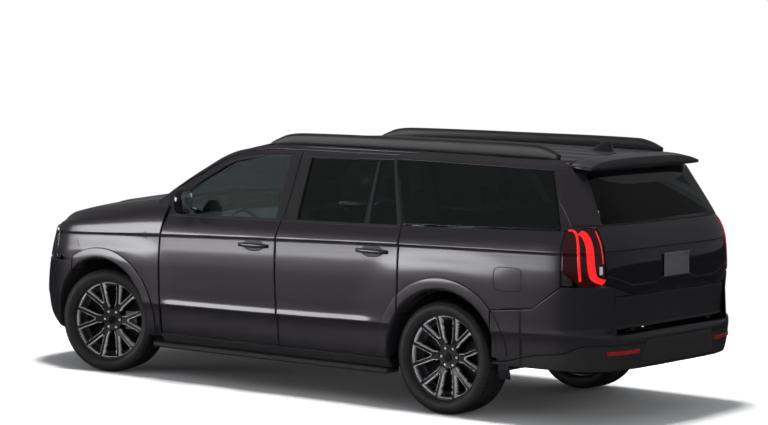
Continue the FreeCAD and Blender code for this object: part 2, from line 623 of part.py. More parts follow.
tailgate_shell = corner_shell(tail_half, (GATE_LOW_Z, 760.0, 840.0, GATE_SPLIT_Z - SHUT_GAP), 0.0, GATE_THICK)
tailgate = tailgate_shell.common(box(-2900, -2300, -TAILGATE_HALF, TAILGATE_HALF, 600, 1000))
TAILGATE_AXIS_X = -2745.0
TAILGATE_AXIS_Z = 700.0
TAILGATE_HINGE_Y = 500.0
top_reach = GATE_SPLIT_Z - SHUT_GAP - TAILGATE_AXIS_Z
inner_corner = box(TAILGATE_AXIS_X, -2500, -720, 720, TAILGATE_AXIS_Z, 1000).cut(
    rod((TAILGATE_AXIS_X, -730, TAILGATE_AXIS_Z), (TAILGATE_AXIS_X, 730, TAILGATE_AXIS_Z), top_reach))
tailgate = tailgate.cut(inner_corner)
tailgate_arms = []
for y in (-TAILGATE_HINGE_Y, TAILGATE_HINGE_Y):
    half = KNUCKLE_HEIGHT / 2
    room = half + NOTCH_CLEARANCE
    notch = box(TAILGATE_AXIS_X - 19, -2600, y - room, y + room, 640, TAILGATE_AXIS_Z + 19)
    pin = rod((TAILGATE_AXIS_X, y - room - 12, TAILGATE_AXIS_Z), (TAILGATE_AXIS_X, y + room + 12, TAILGATE_AXIS_Z),
              HINGE_PIN)
    tailgate = tailgate.cut(notch).fuse(pin)
    barrel = rod((TAILGATE_AXIS_X, y - half, TAILGATE_AXIS_Z), (TAILGATE_AXIS_X, y + half, TAILGATE_AXIS_Z),
                 KNUCKLE_RADIUS)
    leg = box(TAILGATE_AXIS_X - 9, TAILGATE_AXIS_X + 9, y - half, y + half, 669, TAILGATE_AXIS_Z)
    foot = box(TAILGATE_AXIS_X - 9, -2590, y - half, y + half, 669, 685)
    bore = rod((TAILGATE_AXIS_X, y - room, TAILGATE_AXIS_Z), (TAILGATE_AXIS_X, y + room, TAILGATE_AXIS_Z),
               HINGE_PIN + HINGE_CLEARANCE)
    tailgate_arms.append(fused([barrel, leg, foot]).cut(bore))
tailgate = biggest(tailgate)

LAMP_FRONT_X = -2470.0 - SEAT_GAP
tail_lamp_shell = corner_shell(tail_half, (990.0, 1100.0, 1200.0, 1300.0, BELT_BREAK_Z), 0.0, 90.0)
tail_lamp = biggest(tail_lamp_shell.common(box(-2900, LAMP_FRONT_X, TAIL_LAMP_Y, 1100, 900, 1500)))
parts["tail_lamps"] = Part.makeCompound([tail_lamp, mirrored(tail_lamp)])

mid_heights = (GATE_SPLIT_Z, 1000.0, 1100.0, 1200.0, 1300.0, 1360.0, BELT_BREAK_Z + 12)
mid_shell = corner_shell(tail_half, mid_heights, 0.0, GATE_THICK)
mid_gate = mid_shell.common(box(-2900, -2300, -GATE_HALF, GATE_HALF, 900, BELT_BREAK_Z + 12))
top_heights = (BELT_BREAK_Z + 6, 1450.0, 1520.0, 1600.0, 1700.0, 1780.0, 1815.0)
top_shell = corner_shell(tail_half, top_heights, 0.0, FRAME_THICK)
PILLAR_LINE = [(-2366, 1830), (-2432, 1714), (-2626, 1398), (-3000, 1398), (-3000, 1830)]
behind_pillar = through_y(outline(PILLAR_LINE), -FAR, FAR)
REAR_GLASS = [(738, 1412), (648, 1742), (-648, 1742), (-738, 1412)]
glass_hole = through_x(REAR_GLASS, -2900, -2300)
top_gate = top_shell.common(behind_pillar)
GATE_TOP_X = ROOF_REAR - 11.0
spoiler = loft([polygon([vec(x, y, top - drop) for y, drop in
                         ((half, 46), (half * 0.8, 18), (half * 0.45, 4), (0, 0), (-half * 0.45, 4),
                          (-half * 0.8, 18), (-half, 46))]
                        + [vec(x, y, low) for y in (-half, 0, half)])
                for x, half, top, low in ((GATE_TOP_X, 716.0, roof_centre(GATE_TOP_X), 1796.0),
                                          (-2430.0, 714.0, 1862.0, 1787.0), (-2520.0, 704.0, 1848.0, 1778.0))])
GATE_AXIS_X = GATE_TOP_X - 20.0
GATE_SKIN_UP = 26.0
GATE_AXIS_Z = roof_centre(GATE_AXIS_X) - GATE_SKIN_UP
GATE_HINGE_Y = 300.0
front_corner = box(GATE_AXIS_X, GATE_TOP_X + 1, -720, 720, GATE_AXIS_Z, GATE_AXIS_Z + 60).cut(
    rod((GATE_AXIS_X, -730, GATE_AXIS_Z), (GATE_AXIS_X, 730, GATE_AXIS_Z), GATE_SKIN_UP))
beside_body = through_y(grown(outline(BODY_OUTLINE), SHUT_GAP), -FAR, FAR)
lift_gate = top_gate.fuse([mid_gate, spoiler.cut(front_corner)]).cut([glass_hole, beside_body])
for y in (-GATE_HINGE_Y, GATE_HINGE_Y):
    half = KNUCKLE_HEIGHT / 2 + NOTCH_CLEARANCE
    notch = box(GATE_AXIS_X - 19, GATE_TOP_X + 1, y - half, y + half, 1700, GATE_AXIS_Z + 18)
    pin = rod((GATE_AXIS_X, y - half - 12, GATE_AXIS_Z), (GATE_AXIS_X, y + half + 12, GATE_AXIS_Z), HINGE_PIN)
    lift_gate = lift_gate.cut(notch).fuse(pin)
PLATE_HOLE_Y = 105.0
PLATE_HOLE_Z = 1163.0
PLATE_HOLE_RADIUS = 3.0
for y in (-PLATE_HOLE_Y, PLATE_HOLE_Y):
    lift_gate = lift_gate.cut(rod((-2830, y, PLATE_HOLE_Z), (-2735, y, PLATE_HOLE_Z), PLATE_HOLE_RADIUS))
lift_gate = biggest(lift_gate)
glass_heights = (1400.0, 1450.0, 1520.0, 1600.0, 1700.0, 1760.0)
glass_shell = corner_shell(tail_half, glass_heights, GLASS_INSET, GLASS_INSET + GLASS_THICK)
rear_glass = biggest(glass_shell.common(glass_hole))
parts["liftgate"] = lift_gate
parts["glass_liftgate"] = rear_glass
parts["tailgate"] = tailgate
parts["hood"] = hood


# Wheels: tyre, and rim with six forked spokes, built about the axle line with the outer face towards +Y
RIM_FACE_Y = 96.0
RIM_BACK_Y = -112.0
SPOKE_REACH = 268.0
DISC_RADIUS = 178.0
TREAD_HALF = 112.0
SIDEWALL_DROP = 50.0


def turned(points):
    """Solid of revolution about the Y axis from (radius, y) points."""
    face = Part.Face(Part.makePolygon([vec(r, y, 0) for r, y in points + points[:1]]))
    return face.revolve(vec(0, 0, 0), vec(0, 1, 0), 360.0)


half_tyre = TYRE_WIDTH / 2
tyre = turned([(TYRE_RADIUS, -TREAD_HALF), (TYRE_RADIUS, TREAD_HALF), (TYRE_RADIUS - SIDEWALL_DROP, half_tyre),
               (RIM_RADIUS, RIM_FACE_Y + 20), (RIM_RADIUS, RIM_BACK_Y - 6),
               (TYRE_RADIUS - SIDEWALL_DROP, -half_tyre)])

HUB_RADIUS = 92.0
SPINDLE_RADIUS = 34.0
HUB_FACE_Y = 62.0
HUB_BACK_Y = -30.0


def spoke_outline(angle):
    """One Y spoke in the plane of the wheel: a stem that forks into two arms, with its pockets left out."""
    c, s = math.cos(angle), math.sin(angle)

    def at(r, w):
        return vec(r * c - w * s, 0, r * s + w * c)

    return [at(70, -30), at(130, -27), at(SPOKE_REACH - 8, -88), at(SPOKE_REACH + 6, -50), at(152, -4),
            at(152, 4), at(SPOKE_REACH + 6, 50), at(SPOKE_REACH - 8, 88), at(130, 27), at(70, 30)]


def wheel_rim():
    barrel = turned([(RIM_RADIUS, RIM_BACK_Y), (RIM_RADIUS - 10, RIM_BACK_Y), (RIM_RADIUS - 10, RIM_FACE_Y + 14),
                     (RIM_RADIUS, RIM_FACE_Y + 14)])
    hub = turned([(SPINDLE_RADIUS + SPIN_CLEARANCE, HUB_BACK_Y), (HUB_RADIUS, HUB_BACK_Y), (HUB_RADIUS, HUB_FACE_Y),
                  (30, HUB_FACE_Y + 4), (0, HUB_FACE_Y + 4), (0, HUB_FACE_Y - 26),
                  (SPINDLE_RADIUS + SPIN_CLEARANCE, HUB_FACE_Y - 26)])
    disc = turned([(HUB_RADIUS - 2, HUB_BACK_Y), (DISC_RADIUS, HUB_BACK_Y), (DISC_RADIUS, HUB_BACK_Y + 30),
                   (HUB_RADIUS - 2, HUB_BACK_Y + 30)])
    spokes = []
    for k in range(LUG_COUNT):
        face = Part.Face(polygon(spoke_outline(math.radians(90 + 360.0 * k / LUG_COUNT))))
        face.translate(vec(0, HUB_FACE_Y - 26, 0))
        spokes.append(face.extrude(vec(0, 30, 0)))
    arms = Part.makeCompound(spokes)
    lugs = [Part.makeCylinder(9.5, 20, vec(LUG_CIRCLE * math.cos(a), HUB_FACE_Y - 4, LUG_CIRCLE * math.sin(a)),
                              vec(0, 1, 0), 360)
            for a in [math.radians(90 + 360.0 * k / LUG_COUNT) for k in range(LUG_COUNT)]]
    return biggest(fused([barrel, hub, disc, arms] + lugs))


rim = wheel_rim()


def wheel_place(shape, axle_x, side, steer=0.0):
    """Left or right wheel piece at its axle, turned with the steering about the kingpin."""
    placed = shape.copy()
    placed.translate(vec(axle_x, WHEEL_Y, TYRE_RADIUS))
    if side < 0:
        placed = mirrored(placed)
    if steer:
        placed.rotate(vec(axle_x, side * KINGPIN_Y, 0), vec(0, 0, 1), steer)
    return placed


for name, axle_x, steer in (("front", FRONT_AXLE, REST_STEER), ("rear", REAR_AXLE, 0.0)):
    for side_name, side in (("left", 1), ("right", -1)):
        parts["tyre_" + name + "_" + side_name] = wheel_place(tyre, axle_x, side, steer)
        parts["rim_" + name + "_" + side_name] = wheel_place(rim, axle_x, side, steer)

# Front knuckles: upright with spindle, kingpin bores and brake caliper
KING_LOW = 236.0
KING_HIGH = 612.0
KING_BOSS = 24.0


def knuckle():
    spindle = rod((0, WHEEL_Y - 96, TYRE_RADIUS), (0, WHEEL_Y + HUB_FACE_Y - 27, TYRE_RADIUS), SPINDLE_RADIUS)
    upright = box(-32, 32, WHEEL_Y - 108, WHEEL_Y - 66, KING_LOW - 20, KING_HIGH + 14)
    bosses = [rod((0, KINGPIN_Y, z - 26), (0, KINGPIN_Y, z + 26), KING_BOSS) for z in (KING_LOW, KING_HIGH)]
    caliper = Part.makeCompound([box(-208, -110, WHEEL_Y + HUB_BACK_Y - 28, WHEEL_Y + HUB_BACK_Y + 62,
                                     TYRE_RADIUS - 70, TYRE_RADIUS + 70)])
    disc_room = turned([(0, HUB_BACK_Y - 6), (DISC_RADIUS + 6, HUB_BACK_Y - 6),
                        (DISC_RADIUS + 6, HUB_BACK_Y + 36), (0, HUB_BACK_Y + 36)])
    caliper = caliper.cut(disc_room.translated(vec(0, WHEEL_Y, TYRE_RADIUS)))
    bridge = box(-200, 20, WHEEL_Y - 100, WHEEL_Y + HUB_BACK_Y - 20, TYRE_RADIUS - 36, TYRE_RADIUS + 36)
    bores = [rod((0, KINGPIN_Y, z - 30), (0, KINGPIN_Y, z + 30), KINGPIN_RADIUS + BALL_CLEARANCE)
             for z in (KING_LOW, KING_HIGH)]
    return biggest(fused([spindle, upright, caliper, bridge] + bosses).cut(bores))


hub_carrier = knuckle()
for side_name, side in (("left", 1), ("right", -1)):
    placed = hub_carrier.translated(vec(FRONT_AXLE, 0, 0))
    if side < 0:
        placed = mirrored(placed)
    placed.rotate(vec(FRONT_AXLE, side * KINGPIN_Y, 0), vec(0, 0, 1), REST_STEER)
    parts["knuckle_" + side_name] = placed

# Ladder frame with crossmembers, jacking pads and front suspension arms with their kingpin studs
RAIL_OUT = 478.0
RAIL_IN = 402.0
rail_outline = [(2560, 440), (1620, 440), (1400, 330), (-700, 330), (-1000, 520), (-1900, 520), (-2150, 440),
                (-2640, 440), (-2640, 560), (-2150, 560), (-1900, 640), (-1000, 640), (-700, 450), (1400, 450),
                (1620, 560), (2560, 560)]
rail = through_y(outline(rail_outline), RAIL_IN, RAIL_OUT)
cross = [box(x - 40, x + 40, -RAIL_IN, RAIL_IN, z0, z1)
         for x, z0, z1 in ((2500, 450, 550), (620, 340, 376), (60, 340, 376), (-640, 340, 376), (-1960, 530, 600),
                           (-2560, 450, 550))]
JACK_X = (1060.0, -560.0)
jack_pads = [box(x - 40, x + 40, RAIL_IN, RAIL_OUT, 322, 340) for x in JACK_X]
FLOOR_Z = 470.0
REAR_FLOOR_Z = 664.0
MOUNT_RADIUS = 34.0
body_mounts = [rod((x, (RAIL_IN + RAIL_OUT) / 2, foot), (x, (RAIL_IN + RAIL_OUT) / 2, top - SEAT_GAP), MOUNT_RADIUS)
               for x, foot, top in ((1180, 446, FLOOR_Z), (240, 446, FLOOR_Z), (-560, 446, FLOOR_Z),
                                    (-1080, 636, REAR_FLOOR_Z), (-1820, 636, REAR_FLOOR_Z))]


def suspension_arm(z, y_in, z_in):
    arm = Part.makeLoft([polygon([vec(FRONT_AXLE - w, y, zz - 12), vec(FRONT_AXLE + w, y, zz - 12),
                                  vec(FRONT_AXLE + w, y, zz + 12), vec(FRONT_AXLE - w, y, zz + 12)])
                         for w, y, zz in ((150, y_in, z_in), (26, KINGPIN_Y - 40, z))], True, True)
    return arm


studs = []
for z, out in ((KING_LOW, -1), (KING_HIGH, 1)):
    stud = rod((FRONT_AXLE, KINGPIN_Y, z - 26), (FRONT_AXLE, KINGPIN_Y, z + 26 + 14 * max(out, 0)), KINGPIN_RADIUS)
    level = z + out * 46
    cap = rod((FRONT_AXLE, KINGPIN_Y, level - 12), (FRONT_AXLE, KINGPIN_Y, level + 12), 20)
    neck = rod((FRONT_AXLE, KINGPIN_Y, min(z, level)), (FRONT_AXLE, KINGPIN_Y, max(z, level)), KINGPIN_RADIUS)
    link = box(FRONT_AXLE - 22, FRONT_AXLE + 22, KINGPIN_Y - 60, KINGPIN_Y, level - 11, level + 11)
    studs += [stud, cap, neck, link, suspension_arm(level, RAIL_OUT - 6, 500 if out > 0 else 446)]
one_side = [rail] + jack_pads + body_mounts + studs
frame = fused(one_side + [mirrored(s) for s in one_side] + cross)
parts["frame"] = biggest(frame)

# Drive: engine block, gearbox, propeller shaft and rear final drive in line
engine = box(1440, 2180, -300, 300, 400, 1060)
gearbox = Part.makeCone(205, 110, 560, vec(1440, 0, 440), vec(-1, 0, 0))
prop = rod((900, 0, 425), (-1300, 0, 425), 38)
final_drive = box(-1620, -1290, -130, 130, 290, 510)
drive = fused([engine, gearbox, prop, final_drive])
parts["powertrain"] = biggest(drive)

# Rear axle: half shafts, lower arms and fixed spindles
rear_parts = [rod((REAR_AXLE, 130, TYRE_RADIUS), (REAR_AXLE, WHEEL_Y - 90, TYRE_RADIUS), 26),
              rod((REAR_AXLE, WHEEL_Y - 96, TYRE_RADIUS), (REAR_AXLE, WHEEL_Y + HUB_FACE_Y - 27, TYRE_RADIUS), SPINDLE_RADIUS),
              box(REAR_AXLE - 45, REAR_AXLE + 45, WHEEL_Y - 130, WHEEL_Y - 80, 250, 500),
              box(REAR_AXLE - 60, REAR_AXLE + 60, 380, WHEEL_Y - 90, 250, 285),
              box(REAR_AXLE - 40, REAR_AXLE + 40, 380, 430, 250, 520)]
parts["rear_axle"] = Part.makeCompound([fused(rear_parts), mirrored(fused(rear_parts))])

# Floor with bulkhead
BULKHEAD_X = 1336.0
floor_parts = [box(-700, BULKHEAD_X, -815, 815, FLOOR_Z, FLOOR_Z + 24),
               box(-724, -700, -815, 815, FLOOR_Z, REAR_FLOOR_Z + 24),
               box(-2600, -724, -815, 815, REAR_FLOOR_Z, REAR_FLOOR_Z + 24),
               box(BULKHEAD_X, BULKHEAD_X + 30, -790, 790, FLOOR_Z, COWL_Z),
               box(830, BULKHEAD_X, -230, 230, FLOOR_Z + 24, 690)]
floor_parts += tailgate_arms
floor = fused(floor_parts).cut([box(854, 1400, -211, 211, 300, 666), bumper_rear,
                                arch(REAR_AXLE, ARCH_RADIUS + LINER_WALL, 600, 900),
                                arch(REAR_AXLE, ARCH_RADIUS + LINER_WALL, -900, -600),
                                left_side, mirrored(left_side)])
parts["floor"] = biggest(floor)

# Cowl panel at the foot of the windscreen, with the hinge arms of the hood
plate = box(BULKHEAD_X, 1560, -812, 812, COWL_Z, COWL_Z + COWL_THICK)
steps = (-1.0, -0.8, -0.5, 0.0, 0.5, 0.8, 1.0)
lip_front = [vec(1346 + 105 * (1 - t * t), 790 * t, COWL_Z + 6) for t in steps]
lip_back = [vec(p.x - 35, p.y, p.z) for p in lip_front[::-1]]
lip = Part.Face(polygon(lip_front + lip_back)).extrude(vec(0, 0, 1366 - COWL_Z - 6))
cowl = fused([plate, lip] + cowl_arms).cut([left_side, mirrored(left_side), fender, mirrored(fender)])
parts["cowl"] = biggest(cowl)


# Cabin: dashboard with column, seats, and the trim that shows through the glass
dash_front = BULKHEAD_X - SEAT_GAP
dash_outline = [(dash_front, 905), (dash_front, 1255), (1180, 1262), (1010, 1200), (985, 1120), (1090, 960),
                (1120, 905)]
dashboard = through_y(outline(dash_outline), -770, 770)
console = box(330, 1100, -130, 130, 690.5, 905)
parts["dashboard"] = biggest(fused([dashboard, console]).cut([left_side, mirrored(left_side), parts["floor"], screen]))

WHEEL_TILT = 24.0
steer_centre = vec(870, 400, 1125)
hoop_face = Part.Face(polygon([vec(a, 0, 185 + b) for a, b in
                               ((-14, -8), (0, -16), (14, -8), (14, 8), (0, 16), (-14, 8))]))
hoop = hoop_face.revolve(vec(0, 0, 0), vec(1, 0, 0), 360.0)
boss = Part.makeCylinder(58, 50, vec(-12, 0, 0), vec(1, 0, 0))
bars = [box(-10, 8, -186, 186, -16, 16), box(-10, 8, -16, 16, -186, 0)]
column = Part.makeCylinder(24, 240, vec(30, 0, 0), vec(1, 0, 0))
steering = fused([hoop, boss, column] + bars)
steering.rotate(vec(0, 0, 0), vec(0, 1, 0), WHEEL_TILT)
steering.translate(steer_centre)
parts["steering_wheel"] = biggest(steering.cut(parts["dashboard"]))


def seat(x, y, floor_z, width, depth, back_height, headrests):
    """Plain seat: cushion, leaning back, headrests and the plinth under it, all clear of the floor."""
    cushion = box(x - depth, x, y - width / 2, y + width / 2, floor_z + 170, floor_z + 320)
    plinth = box(x - depth + 40, x - 60, y - width / 2 + 60, y + width / 2 - 60, floor_z + 0.3, floor_z + 169.7)
    lean = math.radians(17)
    run = back_height * math.tan(lean)
    foot_x = x - depth + 60
    back_top = floor_z + 320 + back_height
    back = through_y(outline([(foot_x, floor_z + 320.3), (foot_x - run, back_top),
                              (foot_x - run - 110, back_top - 20), (foot_x - 150, floor_z + 320.3)]),
                     y - width / 2, y + width / 2)
    rests = [box(foot_x - run - 118, foot_x - run - 16, y + dy - 120, y + dy + 120, back_top + 16, back_top + 190)
             for dy in headrests]
    posts = [rod((foot_x - run - 60, y + dy + side * 50, back_top - 20),
                 (foot_x - run - 60, y + dy + side * 50, back_top + 20), 7)
             for dy in headrests for side in (-1, 1)]
    return fused([cushion, back, plinth] + rests + posts)


FRONT_FLOOR = FLOOR_Z + 24.0
BACK_FLOOR = REAR_FLOOR_Z + 24.0
parts["seats_front"] = Part.makeCompound([seat(760, y, FRONT_FLOOR, 530, 520, 560, (0,)) for y in (400, -400)])
parts["seats_second"] = Part.makeCompound([seat(-170, y, FRONT_FLOOR, 560, 500, 540, (0,)) for y in (400, -400)])
parts["seats_third"] = Part.makeCompound([seat(-1010, 0, BACK_FLOOR, 1180, 460, 470, (-330, 330))])

# Below the floor: silencer with tail pipes, and the fuel tank
pipe = rod((900, -300, 300), (-1560, -300, 300), 30)
silencer = box(-2050, -1800, -370, 370, 340, 470)
link_pipe = rod((-1550, -300, 300), (-1810, -300, 400), 30)
tail_pipe = rod((-2050, 250, 400), (-2480, 250, 380), 32)
CROSS_LOW = 340.0
hangers = [box(x - 12, x + 12, -316, -284, 320, CROSS_LOW - SEAT_GAP) for x in (620, 60, -640)]
parts["exhaust"] = biggest(fused([pipe, silencer, link_pipe, tail_pipe] + hangers))
tank = box(-600 + SEAT_GAP, 20 - SEAT_GAP, 120, 385, 300, 455)
parts["fuel_tank"] = tank.makeChamfer(20, tank.Edges)

# Roof rails on feet, running boards and arch liners
RAIL_Y = 668.0


def roof_rail():
    sections = []
    for x, low, high in ((405.0, 6.0, 30.0), (300.0, 42.0, 70.0), (60.0, 52.0, 80.0), (-900.0, 48.0, 78.0),
                         (-1800.0, 46.0, 76.0), (-2090.0, 40.0, 70.0), (-2225.0, 6.0, 26.0)):
        base = roof_z(x, RAIL_Y)
        sections.append(polygon([vec(x, RAIL_Y - 20, base + low), vec(x, RAIL_Y + 20, base + low),
                                 vec(x, RAIL_Y + 16, base + high), vec(x, RAIL_Y - 16, base + high)]))
    feet = [box(x0, x1, RAIL_Y - 18, RAIL_Y + 18, 1820, roof_z(x0, RAIL_Y) + 60)
            for x0, x1 in ((320, 400), (-920, -840), (-2215, -2120))]
    return biggest(loft(sections).fuse(feet).cut([roof, left_side, screen]))


rail_left = roof_rail()
parts["roof_rails"] = Part.makeCompound([rail_left, mirrored(rail_left)])

BRACKET_HALF = 30.0
BOARD_FRONT = FRONT_AXLE - ARCH_RADIUS - 30.0
BOARD_REAR = REAR_AXLE + ARCH_RADIUS + 30.0
board = box(BOARD_REAR, BOARD_FRONT, 815, 965, 240, 288)
board = board.makeChamfer(12, board.Edges)
brackets = [box(x - BRACKET_HALF, x + BRACKET_HALF, RAIL_OUT, 860, 252, 280) for x in (1100, 200, -640)]
brackets += [box(x - BRACKET_HALF, x + BRACKET_HALF, RAIL_OUT, RAIL_OUT + 40, 252, 440) for x in (1100, 200, -640)]
board = biggest(fused([board] + brackets).cut(left_side))
parts["running_boards"] = Part.makeCompound([board, mirrored(board)])


def liner(axle_x, half_span):
    ring = arch(axle_x, ARCH_RADIUS - 1.0, 640, 885).cut(arch(axle_x, ARCH_RADIUS - 1.0 - LINER_WALL, 600, 900))
    keep_top = box(axle_x - half_span, axle_x + half_span, 600, 900, TYRE_RADIUS - 60, 1000)
    return ring.common(keep_top)


liners = []
for axle_x in (FRONT_AXLE, REAR_AXLE):
    one = liner(axle_x, 500)
    liners += [one, mirrored(one)]
parts["arch_liners"] = Part.makeCompound([s for c in liners for s in c.Solids])

fin_base = roof_z(-2140, 0) - 2
fin = Part.makeLoft([polygon([vec(-2060, -28, fin_base), vec(-2060, 28, fin_base), vec(-2215, 34, fin_base),
                              vec(-2215, -34, fin_base)]),
                     polygon([vec(-2160, -5, fin_base + 58), vec(-2160, 5, fin_base + 58),
                              vec(-2212, 7, fin_base + 58), vec(-2212, -7, fin_base + 58)])], True, True)
header_front, header_rear = -2270.0, -2335.0
header = through_x([(y, roof_z(header_rear, y) - 12) for y in (600, 480, 250, 0, -250, -480, -600)]
                   + [(-600, 1776), (600, 1776)], header_rear, header_front)
gate_arms = []
for y in (-GATE_HINGE_Y, GATE_HINGE_Y):
    half = KNUCKLE_HEIGHT / 2
    room = half + NOTCH_CLEARANCE
    barrel = rod((GATE_AXIS_X, y - half, GATE_AXIS_Z), (GATE_AXIS_X, y + half, GATE_AXIS_Z), KNUCKLE_RADIUS)
    leg = box(GATE_AXIS_X - 8, GATE_AXIS_X + 8, y - half, y + half, GATE_AXIS_Z - 58, GATE_AXIS_Z)
    foot = box(GATE_AXIS_X - 8, header_front - 1, y - half, y + half, GATE_AXIS_Z - 58, GATE_AXIS_Z - 42)
    bore = rod((GATE_AXIS_X, y - room, GATE_AXIS_Z), (GATE_AXIS_X, y + room, GATE_AXIS_Z), HINGE_PIN + HINGE_CLEARANCE)
    gate_arms.append(fused([barrel, leg, foot]).cut(bore))
parts["roof"] = biggest(fused([roof, fin, header] + gate_arms))


def flare(axle_x, front_limit, back_limit):
    """Raised band round a wheel opening, on the outer skin."""
    ring = arch(axle_x, FLARE_RADIUS, 700).cut(arch(axle_x, ARCH_RADIUS, 600))
    stations = [front_limit - k * (front_limit - back_limit) / 6.0 for k in range(7)]
    sections = []
    for x in stations:
        rows = fender_rows(x) if axle_x > 0 else side_rows(x)
        skin = [((w - plan_taper(x)) * corner_share(x, z), z) for z, w in rows[:7]]
        outer = [vec(x, y + FLARE_STAND, z) for y, z in skin]
        inner = [vec(x, y - 6, z) for y, z in skin]
        sections.append(polygon(outer + inner[::-1]))
    return loft(sections).common(ring)


front_flare = flare(FRONT_AXLE, FRONT_AXLE + 575.0, FRONT_AXLE - 575.0)
rear_flare = flare(REAR_AXLE, REAR_AXLE + 575.0, REAR_AXLE - 575.0)
fender = biggest(fender.fuse(front_flare.common(left_prism(FENDER_OUTLINE))))
parts["fenders"] = Part.makeCompound([fender, mirrored(fender)])
nose_flare = front_flare.common(box(2192, 2600, 600, FAR, NOSE_LOW, 792))
parts["bumper_front"] = biggest(bumper_front.fuse([nose_flare, mirrored(nose_flare)]))
tail_flare = rear_flare.common(left_prism(BUMPER_OUTLINE)).cut(left_side)
parts["bumper_rear"] = biggest(bumper_rear.fuse([tail_flare, mirrored(tail_flare)]))
door_flare = rear_flare.common(left_prism(REAR_DOOR))
rear_door = biggest(rear_door.fuse(door_flare))
parts["door_rear_left"] = rear_door
parts["door_rear_right"] = mirrored(rear_door)
door_room = through_y(grown(outline(REAR_DOOR), SHUT_GAP), 300.0, FAR)
side_flare = rear_flare.common(left_prism(BODY_OUTLINE)).cut(door_room)
left_side = biggest(left_side.fuse(side_flare))
parts["body_sides"] = Part.makeCompound([left_side, mirrored(left_side)])

os.makedirs("parts", exist_ok=True)
for name, shape in parts.items():
    shape.exportStep("parts/" + name + ".step")
    print(name, shape.isValid(), len(shape.Solids), round(shape.Volume / 1e6, 2))
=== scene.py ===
import bpy
import numpy as np
from mathutils import Matrix


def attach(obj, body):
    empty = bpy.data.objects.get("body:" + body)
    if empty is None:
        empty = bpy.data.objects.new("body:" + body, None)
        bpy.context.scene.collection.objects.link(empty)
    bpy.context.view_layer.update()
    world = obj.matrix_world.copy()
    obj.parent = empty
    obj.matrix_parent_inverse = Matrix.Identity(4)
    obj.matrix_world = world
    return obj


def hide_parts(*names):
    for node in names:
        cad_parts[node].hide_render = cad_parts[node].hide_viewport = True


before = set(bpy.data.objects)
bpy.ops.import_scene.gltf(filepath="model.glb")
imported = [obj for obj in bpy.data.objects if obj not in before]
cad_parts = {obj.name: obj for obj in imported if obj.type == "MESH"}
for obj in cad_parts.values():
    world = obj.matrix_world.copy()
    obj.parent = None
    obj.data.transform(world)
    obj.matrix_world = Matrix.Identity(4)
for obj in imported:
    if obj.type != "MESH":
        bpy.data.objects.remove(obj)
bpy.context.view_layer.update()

# Camera behind the left rear corner, where the photograph was taken. Its place comes from fitting the wheels,
# door seams and roof line to the photograph, and its long lens keeps the sides nearly parallel.
CAMERA_TURN, CAMERA_RISE, CAMERA_ROLL = np.radians([127.976, 4.515, 0.581])
CAMERA_DISTANCE = 20.404
CAMERA_TARGET = np.array([-0.3723, 0.2767, 1.3425])
CAMERA_LENS = 126.82
back = np.array([np.cos(CAMERA_RISE) * np.cos(CAMERA_TURN), np.cos(CAMERA_RISE) * np.sin(CAMERA_TURN),
                 np.sin(CAMERA_RISE)])
level = np.cross(-back, (0, 0, 1))
level /= np.linalg.norm(level)
upright = np.cross(level, -back)
camera_axes = np.column_stack([level * np.cos(CAMERA_ROLL) + upright * np.sin(CAMERA_ROLL),
                               upright * np.cos(CAMERA_ROLL) - level * np.sin(CAMERA_ROLL), back])


def placed(axes, centre):
    """Matrix that puts an object at a centre, with its own axes along the columns of the given ones."""
    matrix = np.eye(4)
    matrix[:3, :3] = axes
    matrix[:3, 3] = centre
    return Matrix(matrix.tolist())


scene = bpy.context.scene
scene.view_settings.view_transform = "Standard"
camera_data = bpy.data.cameras.new("camera")
camera_data.sensor_width = 36.0
camera_data.lens = CAMERA_LENS
camera = bpy.data.objects.new("camera", camera_data)
scene.collection.objects.link(camera)
camera.matrix_world = placed(camera_axes, CAMERA_TARGET + back * CAMERA_DISTANCE)
scene.camera = camera


# Studio floor: pale and matt near the car, fading into white further out. Paint and glass see it darker, as
# the black cards round a studio car do, so that the lower body stays dark.
class Value:
    """A shader output that takes part in sums: each operation on it adds a Math node."""

    def __init__(self, finish, socket):
        self.finish = finish
        self.socket = socket

    def math(self, operation, *others):
        inputs = dict(enumerate((self,) + others))
        return self.finish.node("Math", {"operation": operation}, inputs)

    def __add__(self, other):
        return self.math("ADD", other)

    def __sub__(self, other):
        return self.math("SUBTRACT", other)

    def __rsub__(self, other):
        return self.math("MULTIPLY", -1.0) + other

    def __mul__(self, other):
        return self.math("MULTIPLY", other)

    __radd__ = __add__
    __rmul__ = __mul__

    def above(self, edge, blur=0.002):
        """1 where the value is above the edge and 0 below it, with a short blend between."""
        return self.finish.node("MapRange", {"interpolation_type": "SMOOTHSTEP"},
                                {"Value": self, "From Min": edge - blur, "From Max": edge + blur})

    def between(self, low, high, blur=0.002):
        return self.above(low, blur) * (1.0 - self.above(high, blur))


